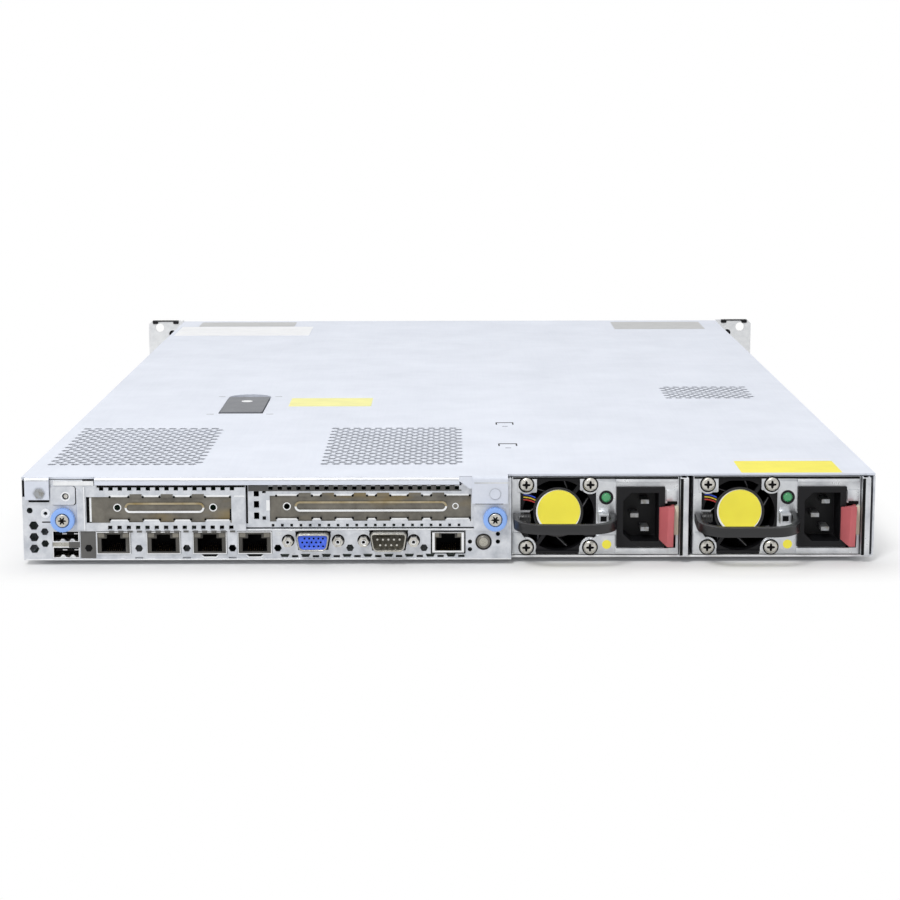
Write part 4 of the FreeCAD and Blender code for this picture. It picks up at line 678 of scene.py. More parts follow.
def screw_head(bm, u, v, radius, y, reach, key, lobes=6, crown=0.5):
    """Round screw head with a lobed socket dark with painted shade and a crowned edge, drawn from its face at y.
    """
    points = 48
    outer = loop(bm, lobed(u, v, radius, points=points), behind(y))
    inner = loop(bm, lobed(u, v, key * 0.8, key * 0.3, lobes, points), behind(y))
    bmesh.ops.bridge_loops(bm, edges=outer + inner)
    socket = draw_out(bm, inner, FORWARD * 0.9)
    floor = bmesh.ops.contextual_create(bm, geom=socket)["faces"][0]
    # Painted shade: the socket's floor and walls take the second, dark material
    for edge in floor.edges:
        for face in edge.link_faces:
            face.material_index = 1
    back = draw_out(bm, outer, FORWARD * reach)
    bmesh.ops.contextual_create(bm, geom=back)
    bmesh.ops.bevel(bm, geom=outer, offset=crown, offset_type="OFFSET", affect="EDGES", segments=3,
                    profile=0.5, material=-1)


def capsule(u_limits, v, radius, points=10):
    """Points around a slot with round ends."""
    outline = []
    for middle, start in ((u_limits[1] - radius, -90), (u_limits[0] + radius, 90)):
        for step in range(points + 1):
            angle = math.radians(start + 180 * step / points)
            outline.append((middle + radius * math.cos(angle), v + radius * math.sin(angle)))
    return outline


def node_copy(name):
    """Merged copy of a CAD node's mesh, with its flat regions joined."""
    bm = bmesh.new()
    bm.from_mesh(NODES[name].data)
    bmesh.ops.scale(bm, vec=Vector((1, 1, 1)) / MM, verts=bm.verts)
    bmesh.ops.remove_doubles(bm, verts=bm.verts, dist=0.0005)
    bmesh.ops.dissolve_limit(bm, angle_limit=math.radians(FLAT_ANGLE), verts=bm.verts, edges=bm.edges)
    return bm


def islands(bm):
    """Sets of faces that hang together, one for each solid."""
    left = set(bm.faces)
    found = []
    while left:
        group = {left.pop()}
        edge = list(group)
        while edge:
            near = {f for e in edge.pop().edges for f in e.link_faces}
            edge += near & left
            group |= near
            left -= near
        found.append(group)
    return found


def sides(faces):
    """Lowest and highest x of a set of faces."""
    places = [v.co.x for f in faces for v in f.verts]
    return min(places), max(places)


def breadth(faces):
    """Width in x of a set of faces."""
    first, last = sides(faces)
    return last - first


def new_piece(name, bm, recipes, body="chassis", smooth_angle=35.0):
    """Finish a mesh as a piece that rides on a body; recipes follow the faces' material numbers."""
    bmesh.ops.recalc_face_normals(bm, faces=bm.faces)
    bmesh.ops.scale(bm, vec=Vector((MM, MM, MM)), verts=bm.verts)
    mesh = bpy.data.meshes.new(name)
    bm.to_mesh(mesh)
    bm.free()
    mesh.shade_smooth()
    mesh.set_sharp_from_angle(angle=math.radians(smooth_angle))
    for recipe in recipes:
        mesh.materials.append(finish(recipe))
    piece = bpy.data.objects.new(name, mesh)
    bpy.context.scene.collection.objects.link(piece)
    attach(piece, body)
    return piece


def plates(name, recipe, patches, body="chassis", edge=0.0):
    """Piece made of thin upright plates, with its edges rounded where asked."""
    bm = bmesh.new()
    add_plates(bm, patches)
    if edge:
        soften(bm, edge)
    new_piece(name, bm, [recipe], body)


def dress(names, recipe, edge=None):
    """Give CAD nodes a finish and, where asked, rounded edges."""
    for name in names:
        node = NODES[name]
        node.data.materials.clear()
        node.data.materials.append(finish(recipe))
        if edge is None:
            continue
        node.modifiers.new("Merge", "WELD").merge_threshold = 0.002 * MM
        flat = node.modifiers.new("Flat regions", "DECIMATE")
        flat.decimate_type = "DISSOLVE"
        flat.angle_limit = math.radians(FLAT_ANGLE)
        bevel = node.modifiers.new("Edges", "BEVEL")
        bevel.width = edge * MM
        bevel.segments = 2
        bevel.limit_method = "ANGLE"
        bevel.angle_limit = math.radians(SHARP_ANGLE)
        bevel.use_clamp_overlap = True
        bevel.harden_normals = True


def per_supply(*endings):
    """Names of the nodes that both supplies have."""
    return [f"psu_{number}_{ending}" for number in SUPPLIES for ending in endings]


# Operators

class SERVER_OT_sheet_metal(bpy.types.Operator):
    """Finish the folded and punched sheet metal"""
    bl_idname = "server.sheet_metal"
    bl_label = "Sheet metal"

    def execute(self, context):
        edge = size("edge")
        dress(["access_panel"], cover_steel)
        dress(["front_top_plate"], cover_steel, edge)
        dress(["rear_io_panel", "riser_cage", "drive_cage", "chassis_tray"], zinc_steel)
        dress(["psu_bay_frame"], bright_steel, edge)
        # Painted light: the ears take the lightest finish, so that their rear faces render near white
        dress(["rack_ears"], burnished_and_painted_highlight, edge)
        dress(per_supply("face"), bright_steel, edge * 0.6)
        dress(per_supply("case"), bright_steel)
        dress(["slot_covers"], slot_cover_steel)
        return {"FINISHED"}


class SERVER_OT_plastics(bpy.types.Operator):
    """Finish the moulded parts that keep their CAD shape"""
    bl_idname = "server.plastics"
    bl_label = "Moulded parts"

    def execute(self, context):
        edge = size("edge")
        dress(per_supply("fan") + ["fan_housings"], black_abs)
        dress(per_supply("inlet"), black_abs, edge)
        dress(["latch_lever"], lever_nylon, edge * 1.5)
        dress(["ear_lever_left", "ear_lever_right"], black_abs, edge * 1.5)
        dress(["front_panel", "board_components"], black_abs)
        dress([f"drive_lever_{number}" for number in DRIVES], carrier_plastic, edge)
        dress(["power_button"], frosted_plastic, edge * 2.0)
        return {"FINISHED"}


class SERVER_OT_inner_parts(bpy.types.Operator):
    """Finish the boards, heat sinks and contact blades"""
    bl_idname = "server.inner_parts"
    bl_label = "Inner parts"

    def execute(self, context):
        dress(["system_board", "plug_in_boards"] + per_supply("board"), solder_mask)
        dress(["cpu_heat_sinks"], cast_aluminium)
        # Painted shade: the inlets' deep contact blades take the darker pressed finish
        dress(per_supply("blades"), pressed_steel_painted_shade)
        return {"FINISHED"}


class SERVER_OT_drives(bpy.types.Operator):
    """Drive carriers with disks, lamps and lever grips"""
    bl_idname = "server.drives"
    bl_label = "Drives"

    def execute(self, context):
        for number in DRIVES:
            self.carrier(f"drive_{number}")
            self.grip(f"drive_lever_{number}")
        return {"FINISHED"}

    def carrier(self, node):
        """Plastic carrier around a metal disk, with two lamps at one end of its front"""
        low, high = limits(node)
        bm = node_copy(node)
        for group in islands(bm):
            is_disk = breadth(group) < high.x - low.x - 1.0
            for face in group:
                face.material_index = 1 if is_disk else 0
        soften(bm, size("edge"))
        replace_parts(new_piece(f"{node}_carrier", bm, [carrier_plastic, cast_aluminium], node), node)
        bm = bmesh.new()
        for level in (0.34, 0.66):
            place = (low.x + 4.2, FRONT - 0.6, low.z + level * (high.z - low.z))
            rod(bm, place, FORWARD, size("lamp"), reach=1.0, segments=LAMP_SIDES)
        soften(bm, LAMP_EDGE)
        new_piece(f"{node}_lamps", bm, [lamp_lens], node)

    def grip(self, node):
        """Row of ribs on an eject lever"""
        low, high = limits(node)
        pitch = 2.2
        bm = bmesh.new()
        for step in range(6):
            first = low.x + 3.0 + pitch * step
            rib = rectangle((first, first + pitch / 2), (low.z + 2.0, high.z - 2.0))
            block(bm, rib, behind(high.y - 0.1), FORWARD * 0.5, corner=0.4)
        new_piece(f"{node}_grip", bm, [black_abs], node)


class SERVER_OT_front_panel(bpy.types.Operator):
    """Lamps of the control panel and trim of the rack ears"""
    bl_idname = "server.front_panel"
    bl_label = "Front panel"

    def execute(self, context):
        self.lamps()
        self.ear_trim()
        return {"FINISHED"}

    def lamps(self):
        """Row of four lamps in line with the power button"""
        middle = centre(*limits("power_button"))[0]
        bm = bmesh.new()
        for step in range(4):
            place = (middle - 6 + 4 * step, FRONT - 2.0, 12.0)
            rod(bm, place, FORWARD, size("lamp"), reach=2.2, segments=LAMP_SIDES)
        soften(bm, LAMP_EDGE)
        new_piece("panel_lamps", bm, [lamp_lens])

    def ear_trim(self):
        """Black strip along the top of each ear, with a pad at both of its ends"""
        tip = limits("rack_ears")[1]
        half_pad = 2.2
        reach = FORWARD * 4.4
        bm = bmesh.new()
        for side in (-1, 1):
            inner = side * (tip.x - 24.0)
            outer = side * (tip.x - 3.2)
            strip = rectangle(sorted((inner, outer)), (tip.z - 0.8, tip.z))
            block(bm, strip, behind(FRONT - 3.0), reach, corner=0.3)
            for end in (inner + side * half_pad, outer - side * half_pad):
                pad = rectangle((end - half_pad, end + half_pad), (tip.z - 2.6, tip.z - 0.4))
                block(bm, pad, behind(FRONT - 3.2), reach, corner=0.9)
        soften(bm, size("edge"))
        new_piece("ear_trim", bm, [black_abs])


class SERVER_OT_labels(bpy.types.Operator):
    """Blank labels, pressed marks and hook slots on the roof, and the touch mark on its latch"""
    bl_idname = "server.labels"
    bl_label = "Labels"

    def execute(self, context):
        lift = UPWARD * size("label")
        # Limits across from the middle and along from the rear face
        labels = [
            ("latch_label", (-96.8, -47.1), (233.0, 266.0), pale_yellow_paper, "access_panel"),
            ("supply_label", (146.5, 197.0), (8.0, 41.0), deep_yellow_paper, "access_panel"),
            ("front_label", (-209.5, -107.0), (592.0, 650.0), white_paper, "chassis"),
            ("right_edge_label", (128.0, 198.0), (630.0, 679.0), tan_paper, "chassis"),
            ("left_edge_label", (-197.0, -122.0), (652.0, 681.0), tan_paper, "chassis"),
        ]
        for name, across, along, recipe, body in labels:
            bm = bmesh.new()
            block(bm, rectangle(across, [REAR + y for y in along]), above(ROOF), lift, corner=1.2)
            new_piece(name, bm, [recipe], body)
        low, high = limits("latch_lever")
        x = centre(low, high)[0]
        bm = bmesh.new()
        block(bm, lobed(x, high.y - 18.5, 3.4), above(high.z), lift)
        new_piece("latch_mark", bm, [white_paper], "latch_lever")
        self.latch_dashes(x, (low.y - 4.5, high.y + 5.0))
        self.hook_slot_shade(PANEL_END + 0.5)
        return {"FINISHED"}

    def latch_dashes(self, latch_x, rows):
        """Pressed dashes in a row behind the latch and a row in front of it, dark with painted shade"""
        bm = bmesh.new()
        for x in (latch_x - 17.5, latch_x + 17.5):
            for y in rows:
                block(bm, capsule((x - 2.2, x + 2.2), y, 0.7), above(ROOF), UPWARD * ROOF_MARK)
        new_piece("latch_dashes", bm, [pressed_steel_painted_shade], "access_panel")

    def hook_slot_shade(self, hook_x):
        """Painted shade of the folded ends of the two hook slots: two legs and a bar across them"""
        bm = bmesh.new()
        for y in (REAR + 96.5, REAR + 169.0):
            outlines = [rectangle((x - 0.4, x + 0.4), (y - 7.0, y)) for x in (hook_x - 4.7, hook_x + 4.7)]
            outlines.append(rectangle((hook_x - 5.0, hook_x + 5.0), (y - 0.9, y + 0.9)))
            for outline in outlines:
                block(bm, outline, above(ROOF), UPWARD * ROOF_MARK)
        new_piece("hook_slot_shade", bm, [liner_and_painted_shadow], "access_panel")


class SERVER_OT_thumbscrews(bpy.types.Operator):
    """Captive screws with ribbed blue grips"""
    bl_idname = "server.thumbscrews"
    bl_label = "Thumbscrews"

    def execute(self, context):
        for side in ("left", "right"):
            self.thumbscrew(f"thumbscrew_{side}")
        return {"FINISHED"}

    def thumbscrew(self, node):
        """Ribbed grip around the head of a screw"""
        low, high = limits(node)
        x, z = centre(low, high)
        radius = (high.x - low.x) / 2
        face_y = low.y + 0.6
        seat_y = REAR - 1.4
        rib = 0.15
        ribs = 28
        points = ribs * 4
        bm = bmesh.new()
        rim = lobed(x, z, radius - rib, depth=rib, lobes=ribs, points=points)
        hole = lobed(x, z, radius * 0.58, points=points)
        ring(bm, rim, hole, behind(seat_y), REARWARD * (seat_y - face_y))
        soften(bm, 0.35, angle=60.0)
        grip = new_piece(f"{node}_grip", bm, [grip_plastic], node)
        bm = bmesh.new()
        screw_head(bm, x, z, radius * 0.53, low.y, reach=high.y - low.y - 8.0, key=1.9)
        shank = 8.5
        rod(bm, (x, high.y - shank, z), FORWARD, radius=1.9, reach=shank)
        screw = new_piece(f"{node}_screw", bm, [nickel_screw, liner_and_painted_shadow], node)
        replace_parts(grip, node)
        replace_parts(screw, node)


class SERVER_OT_network_sockets(bpy.types.Operator):
    """Network sockets with shields, lamp windows and contacts, and the frame of the management socket"""
    bl_idname = "server.network_sockets"
    bl_label = "Network sockets"

    def execute(self, context):
        low, high = limits("network_jacks")
        bm = node_copy("network_jacks")
        for face in bm.faces:
            face.material_index = 0 if face.calc_center_median().y < low.y + 0.05 else 1
        body = new_piece("network_bodies", bm, [socket_resin, liner_and_painted_shadow])
        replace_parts(body, "network_jacks")
        wall = size("shield")
        shields = bmesh.new()
        windows = bmesh.new()
        wires = bmesh.new()
        for opening_low, opening_high in opening_boxes("socket"):
            if opening_high.z > high.z:
                continue
            x = centre(opening_low, opening_high)[0]
            ring(shields, self.front(x), self.front(x, wall), behind(low.y + 1.0), REARWARD * 1.35)
            self.lamp_windows(windows, x, low.y, high.z)
            self.contacts(wires, x, low.y, opening_low.z)
        opening_low, opening_high = opening_boxes("management")[0]
        x = centre(opening_low, opening_high)[0]
        mouth = rectangle((x - 6.7, x + 6.7), (opening_low.z, high.z - 0.9))
        ring(shields, self.front(x, wall), mouth, behind(low.y + 0.1), REARWARD * 0.3)
        new_piece("network_shields", shields, [burnished_and_painted_highlight])
        # Painted shadow: a dark ring round the management socket's front
        gap = bmesh.new()
        ring(gap, self.front(x), self.front(x, 0.5), behind(low.y - 0.35), REARWARD * FILM)
        new_piece("management_shadow", gap, [liner_and_painted_shadow])
        new_piece("network_windows", windows, [smoked_plastic_and_shade])
        new_piece("network_contacts", wires, [gold_flash])
        return {"FINISHED"}

    def front(self, x, inset=0.0):
        """Outline of a socket's front, drawn in by an inset"""
        low, high = limits("network_jacks")
        half = 8.5 - inset
        return rectangle((x - half, x + half), (low.z + inset, high.z - inset))

    def lamp_windows(self, bm, x, y, top):
        """Lamp window in both upper corners of a socket"""
        outer = 7.6
        inner = outer - size("window")
        for side in (-1, 1):
            window = rectangle(sorted((x + side * outer, x + side * inner)), (top - 2.9, top - 0.8))
            block(bm, window, behind(y + 0.2), REARWARD * 0.32, corner=0.25)

    def contacts(self, bm, x, y, floor):
        """Eight sprung wires that rise from the floor of a socket"""
        pitch = 1.02
        rise = Vector((0, 7.0, 2.4))
        for step in range(8):
            start = Vector((x + (step - 3.5) * pitch, y + 1.4, floor + 0.1))
            rod(bm, start, rise.normalized(), size("contact") / 2, rise.length, segments=6)


class SERVER_OT_usb_ports(bpy.types.Operator):
    """USB shells with dark tongues, bare rims, spring fingers and the film between the rear pair"""
    bl_idname = "server.usb_ports"
    bl_label = "USB ports"

    def execute(self, context):
        bm = node_copy("usb_ports")
        # Inside faces that don't face up take the dark liner: painted shade on the shells' walls and ceilings, and
        # the black of the tongues
        for face in bm.faces:
            middle = face.calc_center_median()
            depth = min(middle.y - REAR, FRONT - middle.y)
            is_inside = depth > 1.2 and face.calc_area() < 160.0
            face.material_index = 1 if is_inside and face.normal.z <= 0.9 else 0
        piece = new_piece("usb_shells", bm, [connector_tin, liner_and_painted_shadow])
        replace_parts(piece, "usb_ports")
        floor = limits("usb_ports")[0].z + 0.4
        self.rims((floor, floor + 8.2))
        film = rectangle(span(22.8, 28.2), (floor + 5.1, floor + 8.0))
        plates("usb_film", dark_film_and_painted_shadow, [(film, REAR - 0.4, FILM)])
        return {"FINISHED"}

    def rims(self, floors):
        """Bare rims of the rear pair, with their spring fingers and painted glints on their tongues"""
        height = 5.0
        rim = 0.5
        bm = bmesh.new()
        for z in floors:
            mouth = rectangle(span(15.05, 27.55), (z, z + height))
            outside = rectangle(span(14.55, 28.05), (z - rim, z + height + rim))
            ring(bm, outside, mouth, behind(REAR + 0.5), REARWARD * 0.9)
        soften(bm, 0.15)
        for z in floors:
            for x in span(19.6, 24.4):
                finger = [(x - 1.6, z), (x + 1.6, z), (x + 0.5, z + 1.2), (x - 0.5, z + 1.2)]
                block(bm, finger, behind(REAR + 0.6), REARWARD * 0.2)
            # Painted highlights: glints on the tongues
            for x in span(20.4, 26.2):
                glint = rectangle((x - 1.1, x + 1.1), (z + 3.3, z + 3.8))
                block(bm, glint, behind(REAR + 1.6), REARWARD * 0.15)
        new_piece("usb_rims", bm, [burnished_and_painted_highlight])


class SERVER_OT_d_connectors(bpy.types.Operator):
    """Video and serial connectors with their inserts, contacts, shells and jackscrews"""
    bl_idname = "server.d_connectors"
    bl_label = "Video and serial connectors"

    def execute(self, context):
        self.connector("video_port", video_plastic, width=16.9, height=8.6)
        self.connector("serial_port", serial_plastic, width=18.6, height=9.4)
        return {"FINISHED"}

    def connector(self, node, insert, width, height):
        """Insert, contacts and jackscrews with bright sleeves of painted highlight, holes dark with painted shade,
        and rings of painted shadow round the jackscrews; a drawn shell replaces the plain one
        """
        shell_breadth = 20.0
        screw_breadth = 8.0
        x = centre(*limits(node))[0]
        bm = node_copy(node)
        sleeves = []
        for group in islands(bm):
            front_y = min(f.calc_center_median().y for f in group)
            if breadth(group) > shell_breadth:
                shell_y = front_y
                bmesh.ops.delete(bm, geom=list(group), context="FACES")
                continue
            is_screw = breadth(group) < screw_breadth
            if is_screw:
                sleeves.append((sum(sides(group)) / 2, front_y))
            for face in group:
                middle = face.calc_center_median()
                is_inside = middle.y > front_y + 0.2
                # Painted shade: the floors of the jackscrews' bores and the inside of the video insert's holes
                # take the dark liner
                if is_screw:
                    face.material_index = 2 if is_inside and face.normal.y < -0.9 else 1
                elif insert is video_plastic:
                    face.material_index = 2 if is_inside else 0
                else:
                    face.material_index = 1 if middle.y < REAR - 1.0 else 0
        # Painted highlight: a bright sleeve in each jackscrew's bore
        for sleeve_x, front_y in sleeves:
            old = set(bm.faces)
            washer(bm, sleeve_x, PORT_LINE, front_y + 0.25, FORWARD * 2.0, outer=1.7, inner=0.85)
            for face in set(bm.faces) - old:
                face.material_index = 3
        recipes = [insert, nickel_screw, liner_and_painted_shadow, burnished_and_painted_highlight]
        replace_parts(new_piece(f"{node}_contacts", bm, recipes), node)
        self.shell(node, x, width, height, shell_y)
        # Painted shadow: a dark ring round each jackscrew
        bm = bmesh.new()
        for sleeve_x, _ in sleeves:
            washer(bm, sleeve_x, PORT_LINE, REAR, REARWARD * SHADOW, outer=3.2, inner=2.0)
        new_piece(f"{node}_seats", bm, [liner_and_painted_shadow])

    def shell(self, node, x, width, height, front_y):
        """Drawn shell with rounded corners, its floor dark with painted shade, in a dark outline of painted shadow
        on the panel
        """
        corner = 2.3
        root_y = REAR + 1.0
        bottom = PORT_LINE - height / 2
        top = PORT_LINE + height / 2
        half = width / 2
        lower = half - height * math.tan(math.radians(10))
        outline = [(x - lower, bottom), (x + lower, bottom), (x + half, top), (x - half, top)]
        bm = bmesh.new()
        face = round_corners(bm, flat_face(bm, outline, behind(root_y)), corner)
        mouth = push(bm, face, REARWARD * (root_y - front_y))
        floor = sink(bm, mouth, rim=0.75, vector=FORWARD * (REAR + 0.5 - front_y))
        # Painted shade on the floor inside the shell
        floor.material_index = 1
        soften(bm, 0.3, angle=60.0, segments=3)
        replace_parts(new_piece(f"{node}_shell", bm, [connector_tin, liner_and_painted_shadow]), node)
        # Painted shadow: a dark outline a little larger than the shell, laid on the panel
        bm = bmesh.new()
        gap = round_corners(bm, flat_face(bm, outline, behind(REAR)), corner)
        about = Matrix.Translation((-x, 0, -PORT_LINE))
        bmesh.ops.scale(bm, vec=(1.09, 1.0, 1.16), space=about, verts=bm.verts)
        push(bm, gap, REARWARD * SHADOW)
        new_piece(f"{node}_gap", bm, [liner_and_painted_shadow])


class SERVER_OT_panel_trim(bpy.types.Operator):
    """Film, pressed dot, button, painted shadows in the gaps and painted highlights on the edges of the rear
    panel, and rivets on the sides
    """
    bl_idname = "server.panel_trim"
    bl_label = "Panel trim"

    def execute(self, context):
        film = rectangle(span(28.6, 36.2), (1.0, 15.0))
        plates("socket_film", dark_film_and_painted_shadow, [(film, REAR, 0.15, 0.3)])
        hole = lobed(LEFT + 32.6, 6.2, 1.95, points=6)
        plates("film_hole", liner_and_painted_shadow, [(hole, REAR - 0.1, 0.15)])
        self.dot()
        self.button()
        self.shadow_gaps()
        self.edge_highlights()
        self.rivets()
        return {"FINISHED"}

    def dot(self):
        """Small pressed oval with a hollow middle"""
        bm = bmesh.new()
        dot = flat_face(bm, rectangle(span(126.0, 129.6), (12.4, 14.4)), behind(REAR))
        dot = push(bm, round_corners(bm, dot, radius=0.98, segments=6), REARWARD * 0.3)
        sink(bm, dot, rim=0.45, vector=FORWARD * 0.2)
        new_piece("panel_dot", bm, [bright_steel])

    def button(self):
        """Domed button in a dark ring, the edge of its dome dark with painted shade"""
        low, high = limits("id_button")
        x, z = centre(low, high)
        radius = 3.5
        crown = 1.5
        rings = 7
        turns = 40
        bm = bmesh.new()
        arc = []
        for step in range(rings + 1):
            angle = math.pi / 2 * step / rings
            place = (x + radius * math.sin(angle), low.y + crown * (1 - math.cos(angle)), z)
            arc.append(bm.verts.new(place))
        arc.append(bm.verts.new((x + radius, high.y, z)))
        edges = [bm.edges.new(pair) for pair in zip(arc, arc[1:])]
        bmesh.ops.spin(bm, geom=arc + edges, cent=(x, low.y, z), axis=FORWARD, angle=2 * math.pi, steps=turns,
                       use_merge=True)
        bmesh.ops.remove_doubles(bm, verts=bm.verts, dist=0.001)
        bmesh.ops.holes_fill(bm, edges=bm.edges[:], sides=turns)
        # Painted shade: faces away from the crown take the darker smoked plastic
        for face in bm.faces:
            middle = face.calc_center_median()
            is_crown = math.hypot(middle.x - x, middle.z - z) < radius * 0.6
            face.material_index = 0 if is_crown else 1
        dome = new_piece("id_button_dome", bm, [frosted_plastic, smoked_plastic_and_shade], "id_button")
        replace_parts(dome, "id_button")
        bm = bmesh.new()
        washer(bm, x, z, REAR, REARWARD * 0.5, outer=4.1, inner=3.75)
        new_piece("id_button_ring", bm, [black_abs])

    def lipped_sockets(self):
        """Middles of the two network sockets with a half-moon lip, and the height of their foot"""
        places = [centre(*box)[0] for box in opening_boxes("network_socket")[2:]]
        return places, limits("network_jacks")[0].z

    def shadow_gaps(self):
        """Painted shadow: dark strips in the gaps around and under the cover's tabs and the riser's tab, beside
        the slot windows, and in the half moons under two sockets
        """
        beside_left_tab = rectangle(span(0.2, 1.5), (32.4, 40.8))
        short_slit = rectangle(span(9.6, 14.4), (19.2, 19.8))
        under_left_tab = rectangle(span(3.2, 13.6), (29.6, 31.2))
        under_middle_tab = rectangle((PANEL_END - 18.0, PANEL_END - 4.0), (28.3, 28.9))
        around_riser_tab = rectangle(span(14.6, 27.15), (28.25, 38.0))
        beside_spine = rectangle(span(111.5, 112.4), (18.3, 38.3))
        window_notch = rectangle(span(103.5, 104.4), (21.4, 26.2))
        patches = [
            (beside_left_tab, REAR, FILM),
            (short_slit, REAR, FILM),
            (under_left_tab, REAR, FILM),
            (under_middle_tab, LOW_FACE, FILM),
            (around_riser_tab, LOW_FACE, 0.12, 1.5),
            (beside_spine, TALL_FACE, FILM),
            (window_notch, REAR - 0.9, FILM),
        ]
        places, foot = self.lipped_sockets()
        for x in places:
            moon = [(x - 4.3, foot), (x - 3.0, foot - 1.4), (x + 3.0, foot - 1.4), (x + 4.3, foot)]
            patches.append((moon, REAR, FILM))
        plates("panel_shadows", liner_and_painted_shadow, patches)

    def edge_highlights(self):
        """Painted highlights on the lips under two sockets, the panel's foot and ledge, the supplies' sill, and a
        ring around a hole
        """
        foot_edge = rectangle((LEFT + 1.0, PANEL_END), (0.05, 0.65))
        ledge = rectangle((LEFT + 112.5, PANEL_END - 19.0), (15.1, 15.75))
        sill = rectangle((PANEL_END + 0.3, RIGHT - 3.0), (0.05, 1.1))
        sill_y = limits("psu_1_case")[0].y - 0.5
        places, foot = self.lipped_sockets()
        bm = bmesh.new()
        for x in places:
            lip = [(x - 4.9, foot - 0.4), (x - 3.2, foot - 2.1), (x + 3.2, foot - 2.1), (x + 4.9, foot - 0.4),
                   (x + 3.0, foot - 1.45), (x - 3.0, foot - 1.45)]
            block(bm, lip, behind(REAR), REARWARD * 0.3)
        add_plates(bm, [(foot_edge, REAR, 0.4), (ledge, REAR, 0.3), (sill, sill_y, 1.0)])
        washer(bm, LEFT + 11.5, 23.9, REAR, REARWARD * 0.35, outer=2.4, inner=1.0)
        soften(bm, 0.12)
        new_piece("panel_edge_highlights", bm, [burnished_and_painted_highlight])

    def rivets(self):
        """Two rows of flat rivets on each side wall"""
        radius = size("rivet")
        bm = bmesh.new()
        for side in (-1, 1):
            for y in (-320.0, -170.0, 0.0, 165.0, 290.0):
                for z in (9.0, 33.0):
                    rod(bm, (side * RIGHT, y, z), RIGHTWARD * side, radius, reach=0.5, segments=20,
                        end_radius=radius * 0.6)
        new_piece("side_rivets", bm, [nickel_screw])


